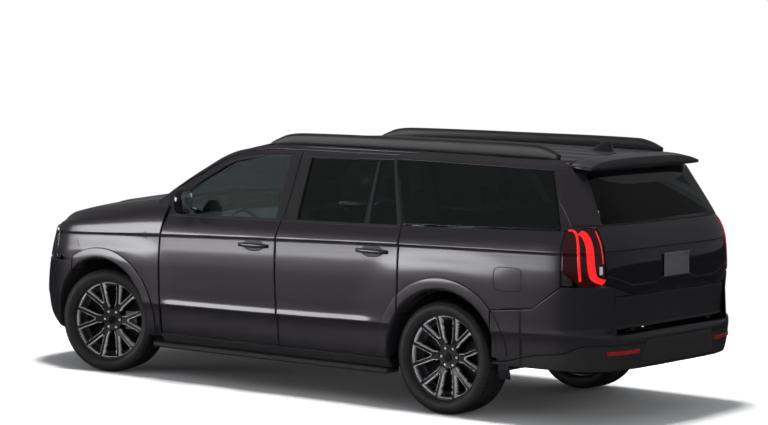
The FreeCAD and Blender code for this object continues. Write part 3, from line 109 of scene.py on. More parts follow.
class Finish:
    """A material being made: its nodes, its Principled shader, and one method for any other node."""

    def __init__(self, name, **constants):
        self.material = bpy.data.materials.new(name)
        self.material.use_nodes = True
        self.tree = self.material.node_tree
        self.shader = self.tree.nodes["Principled BSDF"]
        for socket, value in constants.items():
            self.shader.inputs[socket.replace("_", " ")].default_value = value

    def feed(self, socket, value):
        """Gives a socket a number, a colour or another node's output."""
        if isinstance(value, Value):
            self.tree.links.new(value.socket, socket)
        elif socket.type == "RGBA":
            socket.default_value = (*value, 1.0)
        else:
            socket.default_value = value

    def node(self, kind, settings=None, inputs=None, output=0):
        made = self.tree.nodes.new("ShaderNode" + kind)
        for name, value in (settings or {}).items():
            setattr(made, name, value)
        for name, value in (inputs or {}).items():
            self.feed(made.inputs[name], value)
        return Value(self, made.outputs[output])

    def place(self, source="Object"):
        """A point's place on the car, or its UV, whole and as three values."""
        where = self.node("TexCoord", output=source)
        parts = self.node("SeparateXYZ", inputs={0: where}).socket.node.outputs
        return where, [Value(self, parts[k]) for k in range(3)]

    def noise(self, where, scale, detail=3.0, stretch=(1.0, 1.0, 1.0)):
        moved = self.node("Mapping", inputs={"Vector": where, "Scale": stretch})
        return self.node("TexNoise", inputs={"Vector": moved, "Scale": scale, "Detail": detail})

    def mix(self, amount, first, second):
        """A colour between two others."""
        return self.node("Mix", {"data_type": "RGBA"}, {0: amount, 6: first, 7: second}, output=2)

    def set(self, socket, value):
        self.feed(self.shader.inputs[socket], value)

    def bump(self, height, strength=0.3, distance=0.001):
        self.set("Normal", self.node("Bump",
                                     inputs={"Height": height, "Strength": strength, "Distance": distance}))


def grid_mesh(name, points, outward=None, wrap_rows=False, wrap_columns=False):
    """Mesh of a grid of points (rows, columns, 3), with a quad between each four neighbours and a UV map.

    Faces are turned to an outward direction, or, for the word out, away from the middle of the mesh."""
    rows, columns = points.shape[:2]
    steps = np.meshgrid(np.arange(rows - 1 + wrap_rows), np.arange(columns - 1 + wrap_columns), indexing="ij")
    r, c = (s.ravel() for s in steps)
    corner_rows = np.stack([r, r, r + 1, r + 1], axis=1)
    corner_columns = np.stack([c, c + 1, c + 1, c], axis=1)
    quads = (corner_rows % rows) * columns + corner_columns % columns
    uv = np.stack([corner_rows / (rows - 1 + wrap_rows),
                   corner_columns / (columns - 1 + wrap_columns)], axis=-1)
    flat = points.reshape(-1, 3)
    if outward is not None:
        a, b, c, d = (flat[quads[:, k]] for k in range(4))
        normals = np.cross(c - a, d - b)
        toward = (a + c) / 2 - flat.mean(axis=0) if isinstance(outward, str) else np.array(outward, float)
        if (normals * toward).sum() < 0:
            quads, uv = quads[:, ::-1], uv[:, ::-1]
    mesh = bpy.data.meshes.new(name)
    mesh.from_pydata(flat.tolist(), [], quads.tolist())
    mesh.uv_layers.new(name="UVMap").data.foreach_set("uv", uv.ravel())
    mesh.polygons.foreach_set("use_smooth", np.ones(len(quads), dtype=bool))
    return mesh


def piece(name, mesh, finish, body=None, replaces=(), thick=0.0):
    """Object of a mesh with its finish, riding on a body, thickened inwards where it is a sheet."""
    made = bpy.data.objects.new(name, mesh)
    scene.collection.objects.link(made)
    mesh.materials.append(finish.material)
    if thick:
        wall = made.modifiers.new("wall", "SOLIDIFY")
        wall.thickness = thick
        wall.offset = -1.0
    if body:
        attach(made, body)
    if replaces:
        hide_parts(*replaces)
    return made


FLOOR_HALF = 80.0
FADE_FROM, FADE_TO = 3.0, 4.8
DARK_SEEN = (0.015, 0.015, 0.016)
ground = Finish("studio_floor", Roughness=0.9)
ground.shader.inputs["Specular IOR Level"].default_value = 0.1
where, (gx, gy, _) = ground.place()
distance = (gx * gx * 0.55 + gy * gy).math("SQRT")
ground.set("Base Color", ground.mix(ground.noise(where, 0.6), (0.90, 0.90, 0.905), (0.93, 0.93, 0.93)))
fade = ground.node("MapRange", {"interpolation_type": "SMOOTHSTEP"},
                   {"Value": distance, "From Min": FADE_FROM, "From Max": FADE_TO})
white = ground.node("Emission", inputs={"Color": (1, 1, 1), "Strength": 1.0})
dark = ground.node("Emission", inputs={"Color": DARK_SEEN, "Strength": 1.0})
rays = ground.node("LightPath").socket.node.outputs
seen_directly = Value(ground, rays["Is Camera Ray"]).math("MAXIMUM",
                                                          Value(ground, rays["Is Transmission Ray"]))
lit = Value(ground, ground.shader.outputs[0])
faded = ground.node("MixShader", inputs={0: fade * seen_directly, 1: lit, 2: white})
shown = ground.node("MixShader", inputs={0: Value(ground, rays["Is Glossy Ray"]), 1: faded, 2: dark})
ground.feed(ground.tree.nodes["Material Output"].inputs[0], shown)
corners = np.array([[[-1, -1, 0], [1, -1, 0]], [[-1, 1, 0], [1, 1, 0]]], float) * FLOOR_HALF
piece("studio_floor", grid_mesh("studio_floor", corners, (0, 0, 1)), ground)

# Studio light: a white surround for the camera, a wide softbox overhead, and low cards along the sides that
# draw the long bright band under the shoulder line.
world = bpy.data.worlds.new("studio")
scene.world = world
world.use_nodes = True
surround = world.node_tree
path = surround.nodes.new("ShaderNodeLightPath")
seen = surround.nodes["Background"].outputs[0]
surround.nodes["Background"].inputs["Color"].default_value = (0.31, 0.316, 0.329, 1.0)
for colour, ray in (((0.120, 0.120, 0.125, 1), "Is Glossy Ray"), ((1, 1, 1, 1), "Is Camera Ray"),
                    ((1, 1, 1, 1), "Is Transmission Ray")):
    level_shader = surround.nodes.new("ShaderNodeBackground")
    level_shader.inputs["Color"].default_value = colour
    chosen = surround.nodes.new("ShaderNodeMixShader")
    surround.links.new(path.outputs[ray], chosen.inputs[0])
    surround.links.new(seen, chosen.inputs[1])
    surround.links.new(level_shader.outputs[0], chosen.inputs[2])
    seen = chosen.outputs[0]
surround.links.new(seen, surround.nodes["World Output"].inputs[0])


def softbox(name, centre, aim, width, height, power, spread=180.0, mirrored=True):
    """Rectangular lamp at a place, facing a point; a narrow spread makes it fade off its axis."""
    lamp = bpy.data.lights.new(name, "AREA")
    lamp.shape = "RECTANGLE"
    lamp.size = width
    lamp.size_y = height
    lamp.energy = power
    lamp.spread = np.radians(spread)
    holder = bpy.data.objects.new(name, lamp)
    holder.visible_glossy = mirrored
    holder.visible_transmission = False
    scene.collection.objects.link(holder)
    outward = np.array(centre, float) - aim
    outward /= np.linalg.norm(outward)
    side = np.cross((0, 1, 0) if abs(outward[2]) > 0.9 else (0, 0, 1), outward)
    side /= np.linalg.norm(side)
    holder.matrix_world = placed(np.column_stack([side, np.cross(outward, side), outward]), centre)


softbox("overhead_softbox", (0.1, 0.0, 13.0), (0.1, 0.0, 0.0), 3.5, 3.0, 3200, mirrored=False)
softbox("left_card", (11.0, 13.0, 1.9), (-0.6, 0.0, 1.5), 24.0, 2.6, 120, 50.0)
softbox("right_card", (-9.0, -13.0, 1.9), (-1.0, 0.0, 1.5), 20.0, 2.4, 300, mirrored=False)
softbox("rear_softbox", (-12.0, 6.0, 5.0), (-2.5, 0.0, 1.0), 5.0, 2.5, 200, mirrored=False)


# Body surface: every painted panel lies on one surface, drawn by rows at set heights along the side and by
# rounded plan outlines at the nose and tail, as the solids under it are.
def curve_through(*points):
    """Smooth curve through (place, value) points: cubic pieces whose slopes come from the neighbours."""
    xs, ys = np.array(sorted(points), float).T
    before = np.maximum(np.arange(len(xs)) - 1, 0)
    after = np.minimum(np.arange(len(xs)) + 1, len(xs) - 1)
    slopes = (ys[after] - ys[before]) / (xs[after] - xs[before])

    def value(x):
        x = np.clip(x, xs[0], xs[-1])
        i = np.clip(np.searchsorted(xs, x) - 1, 0, len(xs) - 2)
        h = xs[i + 1] - xs[i]
        t = (x - xs[i]) / h
        rise = (1 + 2 * t) * (1 - t) ** 2 * ys[i] + t * (1 - t) ** 2 * h * slopes[i]
        return rise + t * t * (3 - 2 * t) * ys[i + 1] + t * t * (t - 1) * h * slopes[i + 1]

    return value


def straight_through(*points):
    xs, ys = np.array(sorted(points), float).T
    return lambda x: np.interp(x, xs, ys)


def smooth_step(x, low, high):
    t = np.clip((x - low) / (high - low), 0, 1)
    return t * t * (3 - 2 * t)


FRONT_AXLE, REAR_AXLE = 1.873, -1.470
WHEEL_RADIUS, WHEEL_Y = 0.4075, 0.861
ARCH_RADIUS, FLARE_RADIUS = 0.485, 0.575
FRONT_CORNER, REAR_CORNER = 1.95, -2.15
SILL_Z, CANT_Z, ROOF_EDGE_Z, ROOF_EDGE_Y = 0.292, 1.786, 1.838, 0.722
shoulder_z = curve_through((2.6, 1.068), (1.26, 1.122), (0.46, 1.15), (-1.08, 1.194), (-2.7, 1.222))
belt_z = curve_through((1.5, 1.268), (0.57, 1.285), (-1.07, 1.314), (-2.7, 1.364))
crease_z = curve_through((1.3, 0.58), (0.06, 0.595), (-1.05, 0.618), (-2.7, 0.655))
crown_z = curve_through((1.1, 1.395), (1.384, 1.374), (1.757, 1.322), (2.083, 1.272), (2.36, 1.222),
                        (2.64, 1.128))
front_x = curve_through((0.29, 2.7), (0.42, 2.79), (0.56, 2.818), (0.7, 2.812), (0.9, 2.765), (1.08, 2.7),
                        (1.24, 2.59))
rear_x = curve_through((0.29, -2.74), (0.43, -2.795), (0.56, -2.818), (0.65, -2.812), (0.69, -2.768),
                       (1.0, -2.78), (1.2, -2.77), (1.36, -2.722), (1.7, -2.512), (1.86, -2.4))
SKIN = 0.004


def plan_taper(x):
    """How far the side draws in towards the nose and the tail, as squares of the way past each end."""
    return 0.032 * (np.maximum(x - 1.0, 0) / 1.45) ** 2 + 0.020 * (np.maximum(-1.5 - x, 0) / 1.0) ** 2


def low_rows(x):
    """Rows below the shoulder: a tucked sill, a crease that fades at both ends, a full door and a groove."""
    crease, shoulder = crease_z(x), shoulder_z(x)
    ridge = 0.0045 * smooth_step(x, -0.95, -0.70) * (1 - smooth_step(x, 1.10, 1.30))
    return [(SILL_Z, 0.954), (0.370, 0.985), (crease - 0.060, 0.9985), (crease - 0.020, 1.0050),
            (crease - 0.002, 1.0095 + ridge), (crease + 0.006, 1.0098 + ridge), (crease + 0.050, 1.0100),
            (crease + 0.150, 1.0130), (crease * 0.45 + shoulder * 0.55, 1.0178), (shoulder - 0.200, 1.0182),
            (shoulder - 0.140, 1.0170), (shoulder - 0.080, 1.0145), (shoulder - 0.030, 1.0125),
            (shoulder - 0.010, 1.0122), (shoulder + 0.003, 1.0156)]


def side_rows(x):
    shoulder, belt = shoulder_z(x), belt_z(x)
    glass = CANT_Z - belt
    return low_rows(x) + [((shoulder + belt) / 2, 1.002), (belt - 0.008, 0.976), (belt + 0.012, 0.965),
                          (belt + glass * 0.35, 0.909), (belt + glass * 0.68, 0.849), (CANT_Z, 0.784),
                          (ROOF_EDGE_Z, ROOF_EDGE_Y + SKIN)]


def wing_rows(x):
    shoulder, crown = shoulder_z(x), crown_z(x)
    return low_rows(x) + [((shoulder + crown) / 2, 1.000), (crown - 0.052, 0.964), (crown - 0.016, 0.919),
                          (crown + 0.002, 0.8805)]


def row_width(rows, z):
    """Half width at height z: cubic pieces between the rows, level beyond the first and the last."""
    shape = np.broadcast(z, rows[2][0]).shape
    heights = np.array([np.broadcast_to(h, shape) for h, w in rows])
    widths = np.array([np.broadcast_to(w, shape) for h, w in rows])
    z = np.broadcast_to(z, shape)
    after = np.minimum(np.arange(len(rows)) + 1, len(rows) - 1)
    before = np.maximum(np.arange(len(rows)) - 1, 0)
    slopes = (widths[after] - widths[before]) / (heights[after] - heights[before])
    result = np.where(z < heights[0], widths[0], widths[-1])
    for k in range(len(rows) - 1):
        h = heights[k + 1] - heights[k]
        t = np.clip((z - heights[k]) / h, 0, 1)
        rise = (1 + 2 * t) * (1 - t) ** 2 * widths[k] + t * (1 - t) ** 2 * h * slopes[k]
        rise = rise + t * t * (3 - 2 * t) * widths[k + 1] + t * t * (t - 1) * h * slopes[k + 1]
        result = np.where((z >= heights[k]) & (z < heights[k + 1]), rise, result)
    return result


HAUNCH = 0.008


def haunch(x, z):
    """Swell of the body towards both wheel openings, gone at the shoulder."""
    amount = 0.0
    for axle in (FRONT_AXLE, REAR_AXLE):
        reach = np.hypot(x - axle, z - WHEEL_RADIUS)
        amount = amount + HAUNCH * (1 - smooth_step(reach, 0.56, 0.90))
    return amount * (1 - smooth_step(z, shoulder_z(x) - 0.14, shoulder_z(x) - 0.02))


def side_y(x, z, rows=side_rows):
    """Half width of the body at x and z, drawn in round the front and rear corners of the plan."""
    front = np.clip((x - FRONT_CORNER) / (front_x(z) - FRONT_CORNER), 0, 0.97)
    rear = np.clip((x - REAR_CORNER) / (rear_x(z) - REAR_CORNER), 0, 0.97)
    share = (1 - front ** 3.6) ** (1 / 3.0) * (1 - rear ** 4.5) ** (1 / 4.5)
    return (row_width(rows(x), z) + haunch(x, z) - plan_taper(x)) * share


def side_surface(x, z):
    return np.stack([x, side_y(x, z), z], axis=-1)


def wing_surface(x, z):
    return np.stack([x, side_y(x, z, wing_rows), z], axis=-1)


def lifted(surface, a, b, stand):
    """Point of a surface moved out along its normal, which comes from small steps of both parameters."""
    step = 0.002
    here = surface(a, b)
    normal = np.cross(surface(a, b + step) - surface(a, b - step),
                      surface(a + step, b) - surface(a - step, b))
    normal /= np.linalg.norm(normal, axis=-1, keepdims=True) + 1e-12
    return here + normal * np.asarray(stand)[..., None]


HEM_DEPTH = (0.014, 0.005, 0.0016, 0.0)
HEM_INSET = (0.0, 0.0, 0.0012, 0.0042)


def hemmed(count, start=True, end=True):
    """Fractions, insets in metres and depths along one side of a panel, with a rounded hem at its ends."""
    fractions = np.linspace(0, 1, count + 1)
    insets, depths = fractions * 0, fractions * 0
    if start:
        fractions = np.concatenate([np.zeros(4), fractions[1:]])
        insets = np.concatenate([HEM_INSET, insets[1:]])
        depths = np.concatenate([HEM_DEPTH, depths[1:]])
    if end:
        fractions = np.concatenate([fractions[:-1], np.ones(4)])
        insets = np.concatenate([insets[:-1], -np.array(HEM_INSET)[::-1]])
        depths = np.concatenate([depths[:-1], HEM_DEPTH[::-1]])
    return fractions, insets, depths


def panel(surface, a_low, a_high, b_low, b_high, counts, stand=0.0, hems=(1, 1, 1, 1), unit=(1.0, 1.0)):
    """Skin on a surface between four edges, each a number or a function of the other parameter.

    A few passes settle where the edges meet; unit is how many metres one step of each parameter covers."""
    fa, ia, da = hemmed(counts[0], *hems[:2])
    fb, ib, db = hemmed(counts[1], *hems[2:])
    fa, fb = np.meshgrid(fa, fb, indexing="ij")
    ia, ib = np.meshgrid(ia / unit[0], ib / unit[1], indexing="ij")
    edges = [e if callable(e) else (lambda v, e=e: np.full_like(v, e)) for e in (a_low, a_high, b_low,
                                                                                 b_high)]
    b = (edges[2](fa * 0) + edges[3](fa * 0)) / 2
    for k in range(8):
        low, high = edges[0](b), edges[1](b)
        a = low + (high - low) * fa + ia
        low, high = edges[2](a), edges[3](a)
        b = low + (high - low) * fb + ib
    return lifted(surface, a, b, stand - np.maximum(*np.meshgrid(da, db, indexing="ij")))


def both_sides(name, points, finish, bodies, outward=(0, 1, 0), replaces=(), thick=0.0,
               wraps=(0, 0)):
    """The left piece and its mirror image on the right, each on its own body."""
    for k, (side, turn) in enumerate((("left", 1.0), ("right", -1.0))):
        facing = outward if isinstance(outward, str) else np.array(outward, float) * (1, turn, 1)
        mesh = grid_mesh(name + "_" + side, points * (1, turn, 1), facing, bool(wraps[0]), bool(wraps[1]))
        body = bodies if isinstance(bodies, str) else bodies[k]
        named = [n.replace("SIDE", side) for n in replaces]
        piece(name + "_" + side, mesh, finish, body, named, thick)


# Paint: dark grey metallic with a faint plum tint and fine flakes, under a hard clear coat, on pressed steel
# and aluminium panels.
def metallic_paint(name, deep, light, flake):
    """Paint whose colour wanders slightly over the body, with bright flakes under the coat."""
    made = Finish(name, Metallic=0.75, Coat_Weight=1.0, Coat_Roughness=0.11, IOR=1.5)
    where, _ = made.place()
    flakes = made.noise(where, 2600.0, 1.0)
    base = made.mix(made.noise(where, 2.2), deep, light)
    made.set("Base Color", made.mix(flakes.above(0.62, 0.05) * 0.35, base, flake))
    made.set("Roughness", flakes * 0.10 + 0.30)
    made.bump(flakes, 0.04, 0.0004)
    return made


paint = metallic_paint("metallic_paint", (0.034, 0.0305, 0.035), (0.044, 0.0395, 0.045), (0.13, 0.122, 0.135))


def moulded_plastic(name, colour, rough=0.5, grain=900.0, strength=0.2):
    """Moulded plastic with a fine leather-like grain and slight cloudiness."""
    made = Finish(name)
    made.shader.inputs["Specular IOR Level"].default_value = 0.4
    where, _ = made.place()
    broad = made.noise(where, 14.0)
    made.set("Base Color", made.mix(broad, tuple(c * 0.8 for c in colour), tuple(c * 1.25 for c in colour)))
    made.set("Roughness", broad * 0.12 + (rough - 0.06))
    made.bump(made.noise(where, grain, 2.0), strength, 0.0006)
    return made


black_plastic = moulded_plastic("grained_black_plastic", (0.012, 0.012, 0.013))
satin_trim = moulded_plastic("satin_black_trim", (0.016, 0.015, 0.016), 0.34, 500.0, 0.06)
seal_rubber = moulded_plastic("seal_rubber", (0.006, 0.006, 0.006), 0.7)


def gloss_panel(name, colour):
    """Polished black moulding under a clear lacquer."""
    made = Finish(name, Coat_Weight=1.0, Coat_Roughness=0.02, IOR=1.5)
    where, _ = made.place()
    made.set("Base Color", made.mix(made.noise(where, 6.0), colour, tuple(c * 1.6 for c in colour)))
    made.set("Roughness", made.noise(where, 40.0) * 0.05 + 0.08)
    return made


gloss_black = gloss_panel("gloss_black_trim", (0.0035, 0.0035, 0.004))

# Front doors: pressed outer skins over the door shells, hemmed all round. The lower panel carries the
# shoulder line and the crease, and a slim painted frame runs round the window.
FRONT_DOORS = ("door_front_left", "door_front_right")
front_door_front = curve_through((0.362, 1.230), (0.7, 1.240), (1.06, 1.240), (1.3, 1.196))
front_door_rear = curve_through((0.362, 0.054), (0.56, 0.066), (0.8, 0.079), (1.02, 0.081), (1.19, 0.074),
                                (1.345, 0.042))
DOOR_FOOT = 0.362


def door_top(x):
    return belt_z(x) + 0.006


points = panel(side_surface, front_door_rear, front_door_front, DOOR_FOOT, door_top, (80, 110))
both_sides("door_front_skin", points, paint, FRONT_DOORS)


def strip(outer, inner, counts=(60, 6), stand=0.0):
    """Skin of the side between two edges, each a smooth curve through its own (x, z) points."""
    def edge(line):
        line = np.array(line, float)
        run = np.concatenate([[0], np.cumsum(np.linalg.norm(np.diff(line, axis=0), axis=1))])
        run /= run[-1]
        return curve_through(*zip(run, line[:, 0])), curve_through(*zip(run, line[:, 1]))

    (oa, ob), (ia, ib) = edge(outer), edge(inner)
    f, inset, depth = hemmed(counts[1])
    t, f = np.meshgrid(np.linspace(0, 1, counts[0] + 1), f, indexing="ij")
    width = np.hypot(ia(t) - oa(t), ib(t) - ob(t)) + 1e-9
    share = np.clip(f + inset / width, 0, 1)
    a = oa(t) + (ia(t) - oa(t)) * share
    b = ob(t) + (ib(t) - ob(t)) * share
    return lifted(side_surface, a, b, stand - depth + 0 * t)


FRONT_TOP_CORNER = ((0.013, 1.812), (0.112, 1.768))
front_frame_outer = [(1.196, 1.286), (1.172, 1.447), (0.944, 1.597), (0.672, 1.743), (0.420, 1.800),
                     (0.2, 1.810),
                     FRONT_TOP_CORNER[0]]
front_frame_inner = [(1.120, 1.286), (1.098, 1.420), (0.915, 1.558), (0.655, 1.702), (0.430, 1.753),
                     (0.25, 1.763),
                     FRONT_TOP_CORNER[1]]
points = strip(front_frame_outer, front_frame_inner, (90, 6), stand=-0.001)
both_sides("door_front_frame", points, paint, FRONT_DOORS)
points = strip([FRONT_TOP_CORNER[0], (0.024, 1.50), (0.041, 1.34)],
               [FRONT_TOP_CORNER[1], (0.116, 1.45), (0.118, 1.295)], (40, 6), stand=-0.001)
both_sides("door_front_post", points, satin_trim, FRONT_DOORS)

# Rear doors: the same build, with the rear edge cut to the wheel opening, and a slim bar that divides the
# window from its fixed pane.
REAR_DOORS = ("door_rear_left", "door_rear_right")
rear_door_front = curve_through((0.362, 0.048), (0.56, 0.060), (0.8, 0.073), (1.02, 0.075), (1.19, 0.068),
                                (1.345, 0.036))
REAR_DOOR_BACK = -1.077
OPENING_GAP = 0.002


def opening_half(offset):
    """Half width of a wheel opening at an offset from its middle, from its circle."""
    return np.sqrt(np.maximum(ARCH_RADIUS ** 2 - offset ** 2, 0))


def rear_door_back(z):
    span = opening_half(z - WHEEL_RADIUS)
    opening = np.where(span > 0, REAR_AXLE + span + OPENING_GAP, REAR_DOOR_BACK)
    return np.maximum(REAR_DOOR_BACK + 0.10 * np.maximum(z - 1.25, 0), opening)


points = panel(side_surface, rear_door_back, rear_door_front, DOOR_FOOT, door_top, (80, 110))
both_sides("door_rear_skin", points, paint, REAR_DOORS)
rear_frame_front = ([(0.036, 1.34), (0.018, 1.50), (0.007, 1.812)],
                    [(-0.088, 1.30), (-0.090, 1.50), (-0.093, 1.770)])
rear_frame_top = ([(0.007, 1.812), (-0.4, 1.812), (-0.872, 1.812)],
                  [(-0.093, 1.770), (-0.4, 1.774), (-0.856, 1.782)])
rear_frame_back = ([(-0.872, 1.812), (-0.960, 1.600), (-1.058, 1.370), (-1.066, 1.318)],
                   [(-0.856, 1.782), (-0.925, 1.606), (-1.015, 1.380), (-1.030, 1.322)])
for name, (outer, inner), finish in (("post", rear_frame_front, satin_trim), ("head", rear_frame_top, paint),
                                     ("back", rear_frame_back, satin_trim)):
    both_sides("door_rear_" + name, strip(outer, inner, (40, 6), stand=-0.001), finish, REAR_DOORS)
points = strip([(-0.712, 1.783), (-0.728, 1.52), (-0.745, 1.300)],
               [(-0.735, 1.783), (-0.752, 1.52), (-0.770, 1.300)],
               (30, 4), stand=-0.008)
both_sides("door_rear_divider", points, satin_trim, REAR_DOORS)

# Sills: dark mouldings on the body under the doors, tucked in towards the running boards. They are
# grained plastic, clipped along the sill.
points = panel(side_surface, -0.985, 1.243, 0.294, 0.358, (60, 6))
both_sides("sill_skin", points, black_plastic, "body")

# Belt mouldings: thin satin seals along the foot of the door windows, pressed over the top
# of the panels. They are rubber on a metal core.
for name, start, end, bodies in (("front", 0.060, 1.190, FRONT_DOORS), ("rear", -1.062, 0.046, REAR_DOORS)):
    xs = np.linspace(start, end, 3)
    points = strip(list(zip(xs, belt_z(xs) - 0.006)), list(zip(xs, belt_z(xs) + 0.016)), (60, 5), stand=0.003)
    both_sides("belt_moulding_" + name, points, satin_trim, bodies)

# Rear quarters and roof sides: the welded body side behind the doors, with the fuel door seam, and the strip
# that runs up the windscreen pillar and over the doors to the tail.
bumper_seam_z = straight_through((-1.904, 0.789), (-2.25, 0.824), (-2.474, 0.989))
QUARTER_FRONT, QUARTER_BACK = -1.0825, -2.468
BUMPER_SIDE_X, BUMPER_NOSE_X = -1.904, 2.188


def quarter_foot(x):
    return WHEEL_RADIUS + opening_half(x - REAR_AXLE) + OPENING_GAP


def quarter_top(x):
    return 1.328 + (-1.098 - x) * 0.0284 + 0.002


points = panel(side_surface, BUMPER_SIDE_X, lambda z: QUARTER_FRONT + 0.10 * np.maximum(z - 1.25, 0),
               quarter_foot,
               quarter_top, (80, 110), hems=(0, 1, 1, 1))
both_sides("quarter_skin", points, paint, "body")
points = panel(side_surface, QUARTER_BACK, BUMPER_SIDE_X, bumper_seam_z, quarter_top, (50, 110),
               hems=(1, 0, 1, 1))
both_sides("quarter_skin_rear", points, paint, "body")


def rounded(f, power):
    """Sine or cosine bent towards a rounded corner: its size to the power of two over the given one."""
    return np.sign(f) * np.abs(f) ** (2 / power)


FUEL_CENTRE, FUEL_HALF, FUEL_POWER = (-2.040, 1.011), (0.115, 0.083), 5.0
angles = np.linspace(0, 2 * np.pi, 97)[:-1]
loop = [rounded(f, FUEL_POWER) for f in (np.cos(angles), np.sin(angles))]
growth = np.array([-0.0040, -0.0022, 0.0022, 0.0040])
x = FUEL_CENTRE[0] + loop[0][:, None] * (FUEL_HALF[0] + growth)
z = FUEL_CENTRE[1] + loop[1][:, None] * (FUEL_HALF[1] + growth)
points = lifted(side_surface, x, z, np.array([-0.006, 0.0012, 0.0012, -0.006]) + x * 0)
piece("fuel_door_seam", grid_mesh("fuel_door_seam", points, (0, 1, 0), wrap_rows=True), seal_rubber, "body")

pillar_outer = [(1.328, 1.372), (1.184, 1.478), (0.957, 1.626), (0.683, 1.774), (0.400, 1.830),
                (0.10, 1.8375),
                (-0.4, 1.838), (-0.877, 1.838)]
pillar_inner = [(1.206, 1.290), (1.178, 1.451), (0.948, 1.603), (0.675, 1.7490), (0.420, 1.8058),
                (0.10, 1.8172),
                (-0.4, 1.8175), (-0.877, 1.8175)]
both_sides("roof_side_front", strip(pillar_outer, pillar_inner, (120, 6)), paint, "body")
points = strip([(-0.877, 1.838), (-1.6, 1.838), (-2.352, 1.838)],
               [(-0.877, 1.788), (-1.6, 1.780), (-2.30, 1.768)],
               (60, 8))
both_sides("roof_side_rear", points, paint, "body")
points = strip([(-2.618, 1.398), (-2.520, 1.560), (-2.424, 1.718), (-2.352, 1.838)],
               [(-2.430, 1.366), (-2.352, 1.560), (-2.270, 1.755), (-2.262, 1.838)], (60, 14))
both_sides("rear_pillar", points, paint, "body")


# Flares: smooth bands in body colour round the wheel openings, with a crisp outer edge and a rolled lip. Each
# is divided where a door or bumper seam crosses it.
def flare_surface(radius, angle, axle):
    """Band about an axle: it stands out from the body and rolls in at the lip."""
    x = axle + radius * np.cos(angle)
    z = WHEEL_RADIUS + radius * np.sin(angle)
    along = (radius - ARCH_RADIUS) / (FLARE_RADIUS - ARCH_RADIUS)
    rise = 0.0135 - 0.004 * along ** 2 - 0.010 * (1 - smooth_step(along, -0.02, 0.16))
    return np.stack([x, side_y(x, z, wing_rows if axle > 0 else side_rows) + rise, z], axis=-1)


def seam_angle(offset):
    return lambda radius: np.arccos(np.clip(offset / np.maximum(radius, 1e-9), -1, 1))


def level_angle(z, behind):
    """Angle at which the band meets a level line, ahead of the axle or behind it."""
    def angle(radius):
        rise = np.arcsin(np.clip((z - WHEEL_RADIUS) / np.maximum(radius, 1e-9), -1, 1))
        return np.pi - rise if behind else rise
    return angle


for name, axle, start, end, bodies in (
        ("rear_door", REAR_AXLE, level_angle(DOOR_FOOT, False),
         seam_angle(REAR_DOOR_BACK + 0.001 - REAR_AXLE),
         REAR_DOORS),
        ("quarter", REAR_AXLE, seam_angle(QUARTER_FRONT - REAR_AXLE),
         seam_angle(BUMPER_SIDE_X + 0.003 - REAR_AXLE),
         "body"),
        ("rear_bumper", REAR_AXLE, seam_angle(BUMPER_SIDE_X - 0.002 - REAR_AXLE), level_angle(0.470, True),
         "body"),
        ("wing", FRONT_AXLE, seam_angle(BUMPER_NOSE_X - 0.002 - FRONT_AXLE), level_angle(0.335, True),
         "body"),
        ("nose", FRONT_AXLE, level_angle(0.325, False), seam_angle(BUMPER_NOSE_X + 0.004 - FRONT_AXLE),
         "body")):
    points = panel(lambda a, b: flare_surface(a, b, axle), ARCH_RADIUS + 0.001, FLARE_RADIUS, start, end,
                   (14, 80),
                   unit=(1.0, 0.53))
    both_sides("flare_" + name, points, paint, bodies)

# Front wings: pressed panels between the doors, the hood and the nose, bolted along the hood gap. Each
# has a small foot behind the wheel opening.
wing_front_x = curve_through((0.335, 2.188), (0.80, 2.190), (0.862, 2.392), (1.15, 2.420), (1.4, 2.470))
wing_rear_x = curve_through((0.335, 1.2475), (1.06, 1.2475), (1.29, 1.2035), (1.4, 1.200))


def wing_foot(x):
    return WHEEL_RADIUS + opening_half(x - FRONT_AXLE) + OPENING_GAP


WING_FOOT_Z = 0.335
points = panel(wing_surface, wing_rear_x, wing_front_x, wing_foot, lambda x: crown_z(x) + 0.002, (120, 110))
both_sides("wing_skin", points, paint, "body")
points = panel(wing_surface, 1.2475, lambda z: FRONT_AXLE - opening_half(z - WHEEL_RADIUS) - OPENING_GAP,
               WING_FOOT_Z, WHEEL_RADIUS, (20, 12), hems=(1, 1, 1, 0))
both_sides("wing_foot_skin", points, paint, "body")

# Hood: one long pressing with a low raised centre, hinged at the screen and closed at the nose.
# Its edges are folded over an inner panel.
HOOD_HALF, HOOD_CROWN, HOOD_DOME = 0.851, 0.052, 0.009
HOOD_REAR, HOOD_BOW = 1.392, 0.110
NOSE_INSET = 0.036


def hood_half(x):
    front = np.clip((x - FRONT_CORNER) / (front_x(crown_z(x)) - FRONT_CORNER), 0, 0.97)
    return (HOOD_HALF - plan_taper(x)) * (1 - front ** 3.6) ** (1 / 3.0)


def hood_surface(t, x):
    rise = HOOD_CROWN * (1 - t * t) + HOOD_DOME * (1 - smooth_step(np.abs(t), 0.34, 0.44))
    return np.stack([x, hood_half(x) * t, crown_z(x) + rise + SKIN], axis=-1)


fine_x = np.linspace(2.2, 2.64, 400)
plan_share = np.clip((fine_x - FRONT_CORNER) / (front_x(1.15) - NOSE_INSET - FRONT_CORNER), 0, 1)
nose_plan_y = (0.985 - plan_taper(fine_x)) * (1 - plan_share ** 3.6) ** (1 / 3.0)
reach_t = np.minimum.accumulate(nose_plan_y / hood_half(fine_x))
hood_front = straight_through(*zip(reach_t + np.linspace(0, -1e-6, 400), fine_x))
points = panel(hood_surface, -1.0, 1.0, lambda t: HOOD_REAR + HOOD_BOW * (1 - t * t),
               lambda t: hood_front(np.abs(t)),
               (110, 110), unit=(0.85, 1.0))
piece("hood_skin", grid_mesh("hood_skin", points, (0, 0, 1)), paint, "hood")

